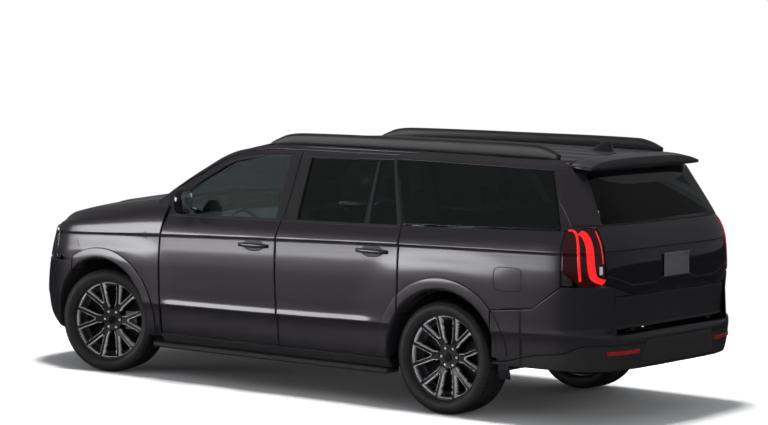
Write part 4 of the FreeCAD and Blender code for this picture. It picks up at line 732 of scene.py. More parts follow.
# Roof: a ribbed pressing welded between the roof sides, with slim black rails and a small aerial
# fin. The rails are satin black and stand on the roof along their whole length.
RIB_YS = (-0.510, -0.330, -0.150, 0.150, 0.330, 0.510)
ROOF_REAR = -2.352


def roof_centre(x):
    return 1.887 - 0.006 * (x + 0.5) ** 2 - 0.155 * np.maximum(x, 0) ** 2


def roof_surface(y, x):
    """Crowned roof with long ribs."""
    crown = 0.046 - 0.028 * (np.maximum(x, 0) / 0.44) ** 2
    ribs = sum(smooth_step(-np.abs(y - rib), -0.029, -0.019) for rib in RIB_YS)
    return np.stack([x, y, roof_centre(x) - crown * (np.abs(y) / 0.716) ** 2.4 + 0.005 * ribs + SKIN],
                    axis=-1)


points = panel(roof_surface, -0.719, 0.719, ROOF_REAR, lambda y: 0.363 + 0.052 * (1 - (y / 0.69) ** 2),
               (300, 70))
piece("roof_skin", grid_mesh("roof_skin", points, (0, 0, 1)), paint, "body")


def sweep(path, half_width, half_height, around=20, power=2.6):
    """Rounded bar carried along a path: a superellipse across it, drawn together at both tips."""
    path = np.asarray(path, float)
    along = np.gradient(path, axis=0)
    along /= np.linalg.norm(along, axis=1, keepdims=True)
    side = np.cross(along, (0, 0, 1))
    side /= np.linalg.norm(side, axis=1, keepdims=True)
    top = np.cross(side, along)
    width = np.broadcast_to(np.asarray(half_width, float), len(path)).copy()
    height = np.broadcast_to(np.asarray(half_height, float), len(path)).copy()
    tip = np.array([0.02, 0.55, 0.8, 0.93])
    ends = np.concatenate([tip, np.ones(len(path)), tip[::-1]])
    path, side, top, along, width, height = (np.concatenate([[v[0]] * 4, v, [v[-1]] * 4])
                                             for v in (path, side, top, along, width, height))
    width, height = width * ends, height * ends
    out = np.sqrt(1 - ends ** 2) * np.minimum(width.max(), height.max())
    sign = np.where(np.arange(len(path)) < 5, -1.0, 1.0)
    path = path + along * (out * sign)[:, None]
    angle = np.linspace(0, 2 * np.pi, around + 1)[:-1]
    across, over = rounded(np.cos(angle), power), rounded(np.sin(angle), power)
    return (path[:, None] + side[:, None] * (width[:, None] * across)[..., None]
            + top[:, None] * (height[:, None] * over)[..., None])


rail_height = curve_through((0.397, 1.846), (0.330, 1.875), (0.225, 1.910), (0.06, 1.924), (-1.0, 1.930),
                            (-2.02, 1.926), (-2.13, 1.905), (-2.225, 1.866))
RAIL_Y, RAIL_TOP_UP = 0.668, 0.0135
xs = np.linspace(0.39, -2.22, 120)
rail_foot = roof_surface(RAIL_Y + 0 * xs, xs)[:, 2] - 0.008
rail_half = (rail_height(xs) + RAIL_TOP_UP - rail_foot) / 2
points = sweep(np.stack([xs, RAIL_Y + xs * 0, rail_foot + rail_half], axis=-1), 0.0185, rail_half, 28, 3.4)
both_sides("roof_rail", points, satin_trim, "body", "out", ["roof_rails"], wraps=(0, 1))
t, f = np.meshgrid(np.linspace(0, 1, 40), np.linspace(-1, 1, 21), indexing="ij")
fin_high = curve_through((0.0, 0.001), (0.30, 0.033), (0.62, 0.065), (0.85, 0.069), (0.95, 0.062),
                         (1.0, 0.0))(t)
fin_x = -2.045 - 0.183 * t
fin_half = 0.040 * np.sqrt(1 - (1 - np.minimum(t / 0.1, 1)) ** 2)
points = np.stack([fin_x, fin_half * f, roof_centre(fin_x) + SKIN + fin_high * (1 - np.abs(f) ** 1.5)],
                  axis=-1)
piece("aerial_fin", grid_mesh("aerial_fin", points, (0, 0, 1)), gloss_black, "body")


# Windows: tinted panes behind the door frames, darker from the rear doors back, and one flush dark pane glued
# over each rear quarter.
def tinted_glass(name, tint):
    """Glass with a tint, which dulls a little towards a fine film of dust."""
    made = Finish(name, Transmission_Weight=1.0, IOR=1.45)
    where, _ = made.place()
    made.set("Base Color", made.mix(made.noise(where, 3.0), tint, tuple(c * 1.15 for c in tint)))
    made.set("Roughness", made.noise(where, 60.0) * 0.02)
    return made


light_glass = tinted_glass("light_tinted_glass", (0.62, 0.74, 0.72))
dark_glass = tinted_glass("dark_tinted_glass", (0.14, 0.155, 0.155))
PANE_DEPTH, PANE = 0.013, 0.005
front_pane_top = curve_through((0.10, 1.776), (0.25, 1.772), (0.43, 1.762), (0.655, 1.711), (0.915, 1.567),
                               (1.06, 1.466), (1.115, 1.36), (1.128, 1.285))
points = panel(side_surface, 0.100, 1.120, lambda x: 1.280 - 0.012 * (x - 0.118), front_pane_top, (70, 40),
               stand=-PANE_DEPTH, hems=(0, 0, 0, 0))
both_sides("front_window", points, light_glass, FRONT_DOORS, replaces=["glass_front_SIDE"],
           thick=PANE)
points = panel(side_surface, lambda z: -1.055 + (z - 1.30) * 0.385, -0.080, lambda x: 1.283 - 0.02 * x,
               lambda x: 1.776 - 0.014 * x, (70, 40), stand=-PANE_DEPTH, hems=(0, 0, 0, 0))
both_sides("rear_window", points, dark_glass, REAR_DOORS, replaces=["glass_rear_SIDE"],
           thick=PANE)
points = panel(side_surface, lambda z: -2.440 + (z - 1.366) * 0.442, lambda z: -1.074 + (z - 1.33) * 0.403,
               lambda x: quarter_top(x) + 0.004, lambda x: 1.786 + (x + 0.88) * 0.0125, (90,
                                                                                         50), stand=0.0005,
               hems=(0, 0, 0, 0))
both_sides("quarter_window", points, dark_glass, "body", replaces=["glass_quarter"], thick=PANE)
screen_side = curve_through((0.0, 1.340), (0.2, 1.184), (0.45, 0.957), (0.75, 0.683), (1.0, 0.395))
screen_height = curve_through((0.0, 1.372), (0.2, 1.477), (0.45, 1.625), (0.75, 1.773), (1.0, 1.848))
screen_half = curve_through((0.0, 0.812), (0.2, 0.775), (0.45, 0.752), (0.75, 0.722), (1.0, 0.690))
screen_bow = curve_through((0.0, 0.105), (0.2, 0.100), (0.45, 0.092), (0.75, 0.080), (1.0, 0.052))


def screen_surface(s, t):
    return np.stack([screen_side(s) + screen_bow(s) * (1 - t * t), screen_half(s) * t, screen_height(s)],
                    axis=-1)


s, t = np.meshgrid(np.linspace(0.0, 1.0, 50), np.linspace(-1, 1, 60), indexing="ij")
mesh = grid_mesh("windscreen_pane", screen_surface(s, t), (1, 0, 1))
piece("windscreen_pane", mesh, light_glass, "body", ["windscreen"], thick=0.006)
for name, (s_low, s_high), (t_low, t_high) in (("head", (0.955, 1.0), (-1, 1)),
                                               ("foot", (0.0, 0.07), (-1, 1)),
                                               ("left", (0.0, 1.0), (0.95, 1)), ("right", (0.0, 1.0),
                                                                                 (-1, -0.95))):
    s, t = np.meshgrid(np.linspace(s_low, s_high, 40), np.linspace(t_low, t_high, 40), indexing="ij")
    mesh = grid_mesh("screen_band_" + name, screen_surface(s, t) + (0.0015, 0, 0.0015), (1, 0, 1))
    piece("screen_band_" + name, mesh, gloss_black, "body")

# Tail: gate skins on the rounded tail. The gate has a painted band over a gloss-black panel with a ledge, the
# fold-down panel under it is painted, and the flush rear glass stands between painted posts.
TAIL_POWER = 4.5


def tail_x(y, z):
    """Place along the car of the rounded tail at y and z; the width it is rounded to follows the rows."""
    x = np.full(np.broadcast(y, z).shape, -2.6)
    for k in range(3):
        half = row_width(side_rows(x), z) - plan_taper(x)
        share = np.clip(np.abs(y) / half, 0, 0.999)
        x = REAR_CORNER + (rear_x(z) - REAR_CORNER) * (1 - share ** TAIL_POWER) ** (1 / TAIL_POWER)
    return x


def tail_surface(y, z):
    return np.stack([tail_x(y, z), y + 0 * z, z + 0 * y], axis=-1)


def tail_panel(name, y_low, y_high, z_low, z_high, counts, finish, body, slot="paint", stand=SKIN, **more):
    points = panel(tail_surface, y_low, y_high, z_low, z_high, counts, stand=stand, **more)
    return piece(name, grid_mesh(name, points, (-1, 0, 0)), finish, body)


GATE_HALF, TAILGATE_HALF = 0.795, 0.712
GATE_TOP_Z, BAND_FOOT_Z, GATE_FOOT_Z = 1.399, 1.232, 0.921
panel_foot = straight_through((-0.80, 1.000), (-0.56, 0.926), (0.56, 0.926), (0.80, 1.000))
tail_panel("gate_band", -GATE_HALF, GATE_HALF, BAND_FOOT_Z, GATE_TOP_Z, (110, 20), paint, "liftgate")
tail_panel("gate_panel", -GATE_HALF, GATE_HALF, panel_foot, BAND_FOOT_Z - 0.003, (140, 40), gloss_black,
           "liftgate",
           "trim_black", stand=0.003)
for name, low, high in (("left", 0.575, GATE_HALF), ("right", -GATE_HALF, -0.575)):
    tail_panel("gate_corner_" + name, low, high, GATE_FOOT_Z, lambda y: panel_foot(y) - 0.003, (30, 10),
               paint,
               "liftgate")
tail_panel("tailgate_skin", -TAILGATE_HALF, TAILGATE_HALF, 0.692, 0.914, (110, 30), paint, "tailgate")
ledge = straight_through((-0.79, 1.060), (-0.55, 0.985), (-0.24, 0.985), (-0.20, 1.012), (0.20, 1.012),
                         (0.24, 0.985), (0.55, 0.985), (0.79, 1.060))
tail_panel("gate_ledge", -0.785, 0.785, ledge, lambda y: ledge(y) + 0.012, (160, 4), satin_trim, "liftgate",
           "trim_black", stand=0.008)
tail_panel("tailgate_step_pad", -0.705, 0.705, 0.690, 0.712, (80, 4), satin_trim, "tailgate", "trim_black",
           stand=0.009)

# Rear glass: a dark pane flush with the gate, printed black at its edge, between the posts of the
# gate. Its deep black band at the top is that print and also painted shade, the spoiler's shadow on the
# glass. It is bonded to the gate's frame.
rear_pane_half = straight_through((1.398, 0.742), (1.755, 0.644))
rear_pane = tail_panel("rear_window_pane", lambda z: -rear_pane_half(z), rear_pane_half, 1.404, 1.752,
                       (90, 40),
                       dark_glass, "liftgate", "glass_dark", stand=0.003, hems=(0, 0, 0, 0))
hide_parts("glass_liftgate")
# Black band over the top of the pane: its printed edge, and painted shade for the shadow under the spoiler.
tail_panel("glass_print_and_shade_band", lambda z: -rear_pane_half(z), rear_pane_half,
           lambda y: 1.752 - 0.090 * np.maximum(1 - (np.abs(y) / 0.645) ** 4, 0.02), 1.752, (90,
                                                                                             10), gloss_black,
           "liftgate", "trim_black", stand=0.0045, hems=(0, 0, 0, 0))
for name, sign in (("left", 1.0), ("right", -1.0)):
    edges = [lambda z: rear_pane_half(z) + 0.004,
             straight_through((1.404, 0.905), (1.55, 0.868), (1.752, 0.790))]
    if sign < 0:
        edges = [lambda z, e=edges[1]: -e(z), lambda z, e=edges[0]: -e(z)]
    tail_panel("gate_post_" + name, edges[0], edges[1], 1.404, 1.756, (14, 40), paint, "liftgate")

# Spoiler: a painted moulding over the glass, with a slim red lamp under its rear edge. It is
# screwed to the top of the gate.
spoiler_half = straight_through((-2.363, 0.716), (-2.43, 0.714), (-2.52, 0.704))
spoiler_top = curve_through((-2.363, float(roof_centre(-2.363))), (-2.43, 1.862), (-2.52, 1.848))
spoiler_low = curve_through((-2.363, 1.796), (-2.43, 1.787), (-2.52, 1.778))
xs = np.linspace(-2.358, -2.524, 24)
turn = np.linspace(0, 2 * np.pi, 121)[:-1]
over, across = np.sin(turn), np.cos(turn)
across = np.sign(across) * np.abs(across) ** 0.35
drop = curve_through((0.0, 0.0), (0.45, 0.004), (0.8, 0.018), (1.0, 0.046))(np.abs(across))
high = np.abs(over) ** 0.35
middle = (spoiler_top(xs) - 0.046 + spoiler_low(xs)) / 2
rows = np.where(over[None, :] >= 0, middle[:,
                                           None] + (spoiler_top(xs)[:, None] - drop - middle[:, None]) * high,
                middle[:, None] + (spoiler_low(xs)[:, None] - middle[:, None]) * high)
points = np.stack([xs[:, None] + 0 * rows, (spoiler_half(xs)[:, None] + 0.004) * across, rows + 0.004 * over],
                  axis=-1)
closing = np.array([0.0, 0.5, 0.85, 0.97])
end = points[-1].mean(axis=0)
caps = np.stack([end + (points[-1] - end) * c + (-0.012 * np.sqrt(1 - c * c), 0, 0) for c in closing[::-1]])
start = points[0].mean(axis=0)
fronts = np.stack([start + (points[0] - start) * c for c in closing])
mesh = grid_mesh("spoiler_skin", np.concatenate([fronts, points, caps]), "out", wrap_columns=True)
piece("spoiler_skin", mesh, paint, "liftgate")


def lamp_lens(name, deep, bright, glow, cells=0.0):
    """Coloured lens over a reflector, with a fine grid of cells where asked, lit a little from inside."""
    made = Finish(name, Coat_Weight=1.0, Coat_Roughness=0.02, Emission_Strength=1.0)
    where, (x, y, z) = made.place()
    pattern = made.noise(where, 30.0)
    if cells:
        grid = (y * cells).math("SINE") * (z * cells).math("SINE")
        pattern = pattern * 0.4 + grid.above(0.0, 0.3) * 0.6
    made.set("Base Color", made.mix(pattern, deep, bright))
    made.set("Roughness", pattern * 0.1 + 0.12)
    made.set("Emission Color", made.mix(pattern, tuple(c * 0.6 for c in glow), glow))
    return made


red_bar = lamp_lens("tail_lamp_red_bar", (0.45, 0.006, 0.008), (0.60, 0.012, 0.014), (0.62, 0.010, 0.012))
red_deep = lamp_lens("tail_lamp_smoked_red", (0.008, 0.0008, 0.001), (0.030, 0.002, 0.0025),
                     (0.004, 0.0, 0.0), 420.0)
tail_panel("high_brake_lamp", -0.42, 0.42, 1.762, 1.772, (60, 3), red_deep, "liftgate", "lamp_red",
           stand=0.030)

# Tail lamps: smoked red lenses wrapped round the corners, with bright light bars under the outer
# lens. They are clear mouldings, screwed to the body side beside the gate.
phi = np.linspace(0, np.pi / 2, 400)
plan_across = np.sin(phi) ** (2 / TAIL_POWER)
plan_along = np.cos(phi) ** (2 / TAIL_POWER)
plan_run = np.concatenate([[0], np.cumsum(np.hypot(np.diff(plan_across) * 0.98, np.diff(plan_along) * 0.62))])
plan_run /= plan_run[-1]


def rear_wrap(s, z):
    """Tail at a run s across it, 0 in the middle and 1 at the corner, and on along the side beyond 1."""
    run = np.abs(s)
    across = np.interp(run, plan_run, plan_across)
    along = np.interp(run, plan_run, plan_along)
    x = REAR_CORNER + (rear_x(z) - REAR_CORNER) * along + np.maximum(run - 1, 0)
    widest = row_width(side_rows(x), z) - plan_taper(x)
    y = np.where(run > 1, side_y(x, z), widest * across)
    return np.stack([x, np.sign(s) * y, z + 0 * s], axis=-1)


def wrap_place(axis, value):
    """Run s at which the tail reaches a place along an axis, as a function of height."""
    heights = np.linspace(0.30, 1.45, 40)
    runs = np.linspace(0.3, 1.25, 500)
    found = []
    for z in heights:
        line = rear_wrap(runs, z + 0 * runs)[:, axis]
        found.append(np.interp(value, line, runs))
    return straight_through(*zip(heights, found))


lamp_inner, lamp_outer = wrap_place(1, 0.8035), wrap_place(0, -2.475)
LAMP_LOW_Z, LAMP_HIGH_Z = 0.994, 1.387
lamp_start, lamp_end = float(lamp_inner(1.05)), float(lamp_outer(1.05))
lamp_middle = lamp_start + (lamp_end - lamp_start) * 0.55


def lamp_foot(s):
    """Lower edge of the lamp, which rises towards its front corner."""
    return LAMP_LOW_Z + 0.106 * np.clip((s - lamp_middle) / (lamp_end - lamp_middle), 0, 1)


points = panel(rear_wrap, lamp_inner, lamp_outer, lamp_foot, LAMP_HIGH_Z, (40, 60), stand=0.005)
both_sides("tail_lamp_lens", points, red_deep, "body", (-1, 0.5, 0), ["tail_lamps"])
points = panel(rear_wrap, lamp_middle + 0.04, lamp_outer, LAMP_LOW_Z, lambda s: lamp_foot(s) - 0.002,
               (20, 12), stand=SKIN,
               hems=(0, 1, 1, 0))
both_sides("tail_lamp_corner", points, paint, "body", outward=(-1, 0.5, 0))


def lamp_bar(name, line, half, finish, stand=0.0085):
    """Light bar on the lens: a band along (share, height) points, share 0 at the gate and 1 at the side."""
    line = np.array(line, float)
    run = np.concatenate([[0], np.cumsum(np.hypot(np.diff(line[:, 0]) * 0.36, np.diff(line[:, 1])))])
    share, height = (curve_through(*zip(run, line[:, k])) for k in (0, 1))
    t = np.linspace(0, run[-1], 70)
    low, high = lamp_inner(height(t)), lamp_outer(height(t))
    s = low + (high - low) * share(t)
    z = height(t)
    normal = np.stack([-np.gradient(z), np.gradient(s)], axis=-1)
    normal /= np.linalg.norm(normal, axis=1, keepdims=True)
    f, depth = np.linspace(-1, 1, 7), np.array([0.006, 0.001, 0, 0, 0, 0.001, 0.006])
    a = s[:, None] + normal[:, :1] * f * half
    b = z[:, None] + normal[:, 1:] * f * half
    both_sides(name, lifted(rear_wrap, a, b, stand - depth + 0 * a), finish, "body", (-1, 0.5, 0))


clear_lens = lamp_lens("lamp_clear", (0.30, 0.31, 0.33), (0.45, 0.46, 0.48), (0.02, 0.02, 0.022))
lamp_bar("tail_bar_outer", [(0.94, 1.372), (0.76, 1.370), (0.66, 1.345), (0.61, 1.27), (0.60, 1.14),
                            (0.57, 1.03)],
         0.008, red_bar)
lamp_bar("tail_bar_inner", [(0.56, 1.360), (0.42, 1.338), (0.345, 1.27), (0.33, 1.14), (0.27, 1.055),
                            (0.03, 1.020)],
         0.023, red_bar)
lamp_bar("tail_bar_edge", [(0.045, 1.370), (0.045, 1.26), (0.045, 1.15)], 0.0035, red_bar)
lamp_bar("tail_clear_element", [(0.10, 1.13), (0.10, 1.075)], 0.012, clear_lens, 0.007)

# Rear bumper: a painted wrap over a black lower valance, with a raised centre and reflectors. It is
# moulded plastic over a beam, clipped to the rear quarters.
valance_line = straight_through((-0.06, 0.585), (0.69, 0.585), (0.78, 0.520), (0.90, 0.500), (1.10, 0.440),
                                (1.26, 0.425))
side_start = wrap_place(0, BUMPER_SIDE_X - 0.002)


def bumper_top(s):
    """Upper edge of the bumper: under the fold-down panel, up at the lamps, then down along the quarter."""
    run = np.abs(s)
    beside = float(lamp_inner(0.9)) - 0.05
    x = rear_wrap(run, 0.85 + 0 * run)[..., 0]
    return np.where(run < beside, 0.652, np.where(x < -2.474, 0.985, bumper_seam_z(x) - 0.004))


corner_run = float(wrap_place(1, 0.720)(0.8))
points = panel(rear_wrap, -corner_run, corner_run, lambda s: valance_line(np.abs(s)), 0.652, (120, 14),
               stand=SKIN)
piece("rear_bumper_skin", grid_mesh("rear_bumper_skin", points, (-1, 0, 0)), paint, "body")
bumper_end = float(side_start(0.6))
points = panel(rear_wrap, corner_run, lambda z: np.minimum(side_start(z), bumper_end), lambda s: np.maximum(
    valance_line(np.abs(s)), np.where(rear_wrap(s, 0.6 + 0 * s)[..., 0] > REAR_AXLE - ARCH_RADIUS, 0.45, 0)),
    bumper_top, (90, 50), stand=SKIN, hems=(0, 1, 1, 1))
both_sides("rear_bumper_corner", points, paint, "body", outward=(-1, 1, 0))
points = panel(rear_wrap, -1.0, 1.0, 0.402, lambda s: valance_line(np.abs(s)) - 0.003, (140, 12), stand=0.003)
piece("rear_valance", grid_mesh("rear_valance", points, (-1, 0, 0)), black_plastic, "body")
points = panel(rear_wrap, 1.0, lambda z: np.minimum(side_start(z), bumper_end), 0.402,
               lambda s: valance_line(np.abs(s)) - 0.003, (24, 8), stand=0.003, hems=(0, 1, 1, 1))
both_sides("rear_valance_side", points, black_plastic, "body", (0, 1, 0))
points = panel(rear_wrap, lambda z: -0.30 - (0.6 - z) * 0.25, lambda z: 0.30 + (0.6 - z) * 0.25, 0.432, 0.600,
               (60, 12),
               stand=0.010)
piece("rear_valance_centre", grid_mesh("rear_valance_centre", points, (-1, 0, 0)), satin_trim, "body")
x, y = np.meshgrid(np.linspace(-2.800, -2.660, 12), np.linspace(-0.700, 0.700, 60), indexing="ij")
mesh = grid_mesh("bumper_shelf", np.stack([x, y, 0.6545 + 0 * x], axis=-1), (0, 0, 1))
piece("bumper_shelf", mesh, black_plastic, "body")
# The reflectors hold no lamp: their faint red glow is painted light.
reflector = lamp_lens("rear_reflector", (0.10, 0.003, 0.004), (0.20, 0.006, 0.008), (0.02, 0.0, 0.0), 600.0)
low_s, high_s = float(wrap_place(1, 0.50)(0.53)), float(wrap_place(1, 0.80)(0.53))
points = panel(rear_wrap, low_s, high_s, 0.515, 0.545, (30, 5), stand=0.009)
both_sides("rear_reflector", points, reflector, "body", (-1, 0.3, 0))

# Number plate: a blank grey plate in the middle of the gate, held by two bolts along its top edge. It
# is pressed metal with nothing on it.
PLATE_HALF, PLATE_LOW, PLATE_HIGH, PLATE_X = 0.165, 1.022, 1.188, -2.792
plate_finish = moulded_plastic("blank_plate", (0.055, 0.055, 0.058), 0.4, 200.0, 0.05)
y, z = np.meshgrid(np.linspace(-1, 1, 20) * PLATE_HALF, np.linspace(PLATE_LOW, PLATE_HIGH, 12), indexing="ij")
mesh = grid_mesh("rear_plate", np.stack([PLATE_X + 0 * y, y, z], axis=-1), (-1, 0, 0))
piece("rear_plate", mesh, plate_finish, "liftgate", thick=0.003)


def brushed_metal(name, colour, rough=0.3):
    """Bare or plated metal with fine streaks."""
    made = Finish(name, Metallic=1.0)
    where, _ = made.place()
    streaks = made.noise(where, 60.0, 2.0, (1.0, 1.0, 12.0))
    made.set("Base Color", made.mix(streaks, tuple(c * 0.8 for c in colour), colour))
    made.set("Roughness", streaks * 0.15 + rough)
    return made


bright_metal = brushed_metal("bright_metal", (0.62, 0.62, 0.64), 0.2)
turn, f = np.meshgrid(np.linspace(0, 2 * np.pi, 21)[:-1], np.linspace(0, 1, 6), indexing="ij")
dome = np.stack([-0.005 * np.cos(f * np.pi / 2), 0.008 * np.sin(f * np.pi / 2) * np.cos(turn),
                 0.008 * np.sin(f * np.pi / 2) * np.sin(turn)], axis=-1)
for name, y in (("left", 0.105), ("right", -0.105)):
    points = dome + (PLATE_X - 0.001, y, 1.163)
    piece("plate_bolt_" + name, grid_mesh("plate_bolt_" + name, points, (-1, 0, 0), wrap_rows=True),
          bright_metal,
          "liftgate")

# Handles: a body-coloured strap over a rounded cup in each door, with its ends turned in to the skin. Each
# cup is a flat dark patch on the skin, painted shade for the hollow behind the strap.
for name, x_low, x_high, z, bodies in (("front", 0.150, 0.430, 1.100, FRONT_DOORS),
                                       ("rear", -0.980, -0.700, 1.130, REAR_DOORS)):
    xs = np.linspace(x_low, x_high, 40)
    f = (xs - x_low) / (x_high - x_low)
    out = 0.030 * np.sin(np.pi * f) ** 0.35
    line = np.stack([xs, side_y(xs, z + 0 * xs) + out, z + 0 * xs], axis=-1)
    points = sweep(line, 0.0075, 0.0135 + 0.002 * np.cos((f - 0.5) * np.pi), power=2.8)
    both_sides("handle_" + name, points, paint, bodies, "out", wraps=(0, 1))
    x, up = np.meshgrid(np.linspace(x_low + 0.035, x_high - 0.035, 30), np.linspace(-0.05, 0.05, 20),
                        indexing="ij")
    # Dark oval behind the strap, drawn flat a hair proud of the skin: painted shade for the hollow of the
    # cup.
    shade_patch = np.clip(1 - ((x - (x_low + x_high) / 2) / 0.102) ** 2 - (up / 0.044) ** 2, 0, 1) ** 0.5
    points = lifted(side_surface, x, z + up, 0.0012 * (shade_patch > 0) - 0.0012 + 0.0014 * (shade_patch > 0.02))
    both_sides("handle_cup_" + name, points, satin_trim, bodies)

# Mirrors: black housings on short feet at the front corner of the door windows, with a glass at the
# back. They are glossy mouldings, bolted to the door.
v, u = np.meshgrid(np.linspace(-np.pi / 2, np.pi / 2, 25), np.linspace(0, 2 * np.pi, 41)[:-1], indexing="ij")


def cushion(centre, half, power=3.2, lean=0.0):
    """Rounded box: a superellipsoid about a centre, leaned back by an angle about the cross axis."""
    x = half[0] * rounded(np.cos(v), power) * rounded(np.cos(u), power)
    y = half[1] * rounded(np.sin(v), power)
    z = half[2] * rounded(np.cos(v), power) * rounded(np.sin(u), power)
    turned = np.stack([x * np.cos(lean) - z * np.sin(lean), y, x * np.sin(lean) + z * np.cos(lean)], axis=-1)
    return turned + centre


points = cushion((0.930, 1.094, 1.400), (0.048, 0.082, 0.104), 2.7)
both_sides("mirror_head_skin", points, gloss_black, FRONT_DOORS, "out", ["mirror_SIDE"],
           wraps=(0, 1))
points = sweep([(0.955, 0.965, 1.332), (0.950, 1.00, 1.335), (0.940, 1.04, 1.345)], 0.045, 0.014)
both_sides("mirror_foot_skin", points, gloss_black, FRONT_DOORS, "out", wraps=(0, 1))
f, turn = np.meshgrid(np.linspace(0.001, 1, 8), np.linspace(0, 2 * np.pi, 49)[:-1], indexing="ij")
points = np.stack([0.8795 + 0.010 * f ** 4, 1.094 + 0.064 * f * rounded(np.cos(turn), 2.7),
                   1.400 + 0.084 * f * rounded(np.sin(turn), 2.7)], axis=-1)
mirror_glass = brushed_metal("mirror_glass", (0.72, 0.74, 0.76), 0.02)
both_sides("mirror_glass", points, mirror_glass, FRONT_DOORS, (-1, 0, 0), wraps=(0, 1))

# Running boards: black steps under the doors, rounded along both edges. They are satin mouldings on brackets
# that are bolted to the frame.
xs = np.linspace(-0.940, 1.343, 90)
points = sweep(np.stack([xs, 0.889 + 0 * xs, 0.264 + 0 * xs], axis=-1), 0.076, 0.024, 28, 4.5)
both_sides("running_board_skin", points, satin_trim, "body", "out", wraps=(0, 1))

# Wheels: six forked spokes with bright bevelled edges in a dark rim, on tall road tyres. Each turns with its
# own wheel body, and the front pair is steered as in the photograph.
SPOKES, FACE_RADIUS = 6, 0.300
HUB_RADIUS, RING_RADIUS = 0.086, 0.290
STEM_HALF, ARM_HALF, FORK_START, FORK_SLOPE = 0.029, 0.0165, 0.135, 0.40
LUG_CIRCLE, CAP_RADIUS = 0.0675, 0.030
STEER, KINGPIN_Y = np.radians(13.0), 0.770


def on_wheel(points, front, turn):
    """A left wheel's points about its own centre, moved to one of the four wheels."""
    axle = FRONT_AXLE if front else REAR_AXLE
    x, y, z = (points[..., k] for k in range(3))
    y = (y + WHEEL_Y) * turn
    if front:
        x, y = (x * np.cos(STEER) - (y - KINGPIN_Y * turn) * np.sin(STEER),
                x * np.sin(STEER) + (y - KINGPIN_Y * turn) * np.cos(STEER) + KINGPIN_Y * turn)
    return np.stack([x + axle, y, z + WHEEL_RADIUS], axis=-1)


tread = moulded_plastic("tyre_rubber", (0.0115, 0.0115, 0.012), 0.50, 300.0, 0.10)
where, (tu, tv, _) = tread.place("UV")
blocks = (tu * (2 * np.pi * 72)).math("SINE").above(0.55, 0.12) * tv.between(0.30, 0.70, 0.01)
lettered_band = (tv * 90.0).math("SINE").above(0.8, 0.1)
tread.bump(blocks * -1.0 + lettered_band * 0.12 + tread.noise(where, 400.0) * 0.05, 0.8, 0.004)
tyre_half = [(0.100, 0.308), (0.112, 0.304), (0.124, 0.308), (0.135, 0.321), (0.1425, 0.346), (0.1405, 0.371),
             (0.132, 0.391), (0.115, 0.4035), (0.075, 0.4065)]
tyre_line = [(-y, r) for y, r in tyre_half] + [(0.0, 0.4075)] + tyre_half[::-1]
run = np.linspace(0, 1, len(tyre_line))
fine = np.linspace(0, 1, 90)
section_y = curve_through(*zip(run, [p[0] for p in tyre_line]))(fine)
section_r = curve_through(*zip(run, [p[1] for p in tyre_line]))(fine)
for groove in (-0.078, -0.027, 0.027, 0.078):
    section_r = section_r - 0.0085 * (np.abs(section_y - groove) < 0.0055) * (section_r > 0.40)
section_r = section_r + 0.0012 * (np.abs(np.abs(section_y) - 0.1415) < 0.0012)
turn_angle = np.linspace(0, 2 * np.pi, 145)[:-1][:, None]
tyre_points = np.stack([section_r * np.cos(turn_angle), section_y + 0 * turn_angle,
                        section_r * np.sin(turn_angle)],
                       axis=-1)


def metal_depth(radius, along, lateral, least, most, size):
    """How deep a point of the face lies in metal: hub, stem, one of its two arms, or the ring they end in."""
    stem = least(STEM_HALF - lateral, FORK_START + 0.015 - along)
    arm_line = most(along - FORK_START, 0.0) * FORK_SLOPE + ARM_HALF
    arm = least(ARM_HALF - size(lateral - arm_line), along - 0.100)
    return most(most(stem, arm), most(HUB_RADIUS - radius, radius - RING_RADIUS))


alloy = Finish("two_tone_alloy", Metallic=0.4)
where, _ = alloy.place()
_, (share_out, share_round, _) = alloy.place("UV")
radius = share_out * FACE_RADIUS
turn = (share_round * float(SPOKES)).math("PINGPONG", 0.5) * (2 * np.pi / SPOKES)
along, lateral = radius * turn.math("COSINE"), radius * turn.math("SINE")
depth = metal_depth(radius, along, lateral, lambda a, b: a.math("MINIMUM", b), lambda a,
                    b: a.math("MAXIMUM", b),
                    lambda a: a.math("ABSOLUTE"))
to_lug = ((along - LUG_CIRCLE) * (along - LUG_CIRCLE) + lateral * lateral).math("SQRT")
outline = depth.between(0.0, 0.0045, 0.0012) * radius.above(0.100, 0.006)
bright = outline.math("MAXIMUM", 1.0 - to_lug.above(0.0095, 0.001))
face_colour = alloy.mix(alloy.noise(where, 20.0), (0.016, 0.016, 0.017), (0.032, 0.031, 0.033))
face_colour = alloy.mix(radius.above(CAP_RADIUS, 0.001), (0.004, 0.004, 0.004), face_colour)
coloured = alloy.mix(bright, face_colour, (0.66, 0.66, 0.68))
# Between the spokes the face is a sheet just behind them, coloured as painted shade: near black for the dark
# inside of the wheel, with a lighter ring for its barrel.
window = 1.0 - depth.above(-0.001, 0.001)
behind = alloy.mix(radius.between(0.262, 0.288, 0.004), (0.004, 0.004, 0.0045), (0.060, 0.060, 0.062))
alloy.set("Base Color", alloy.mix(window, coloured, behind))
alloy.set("Roughness", window * 0.35 + 0.25)

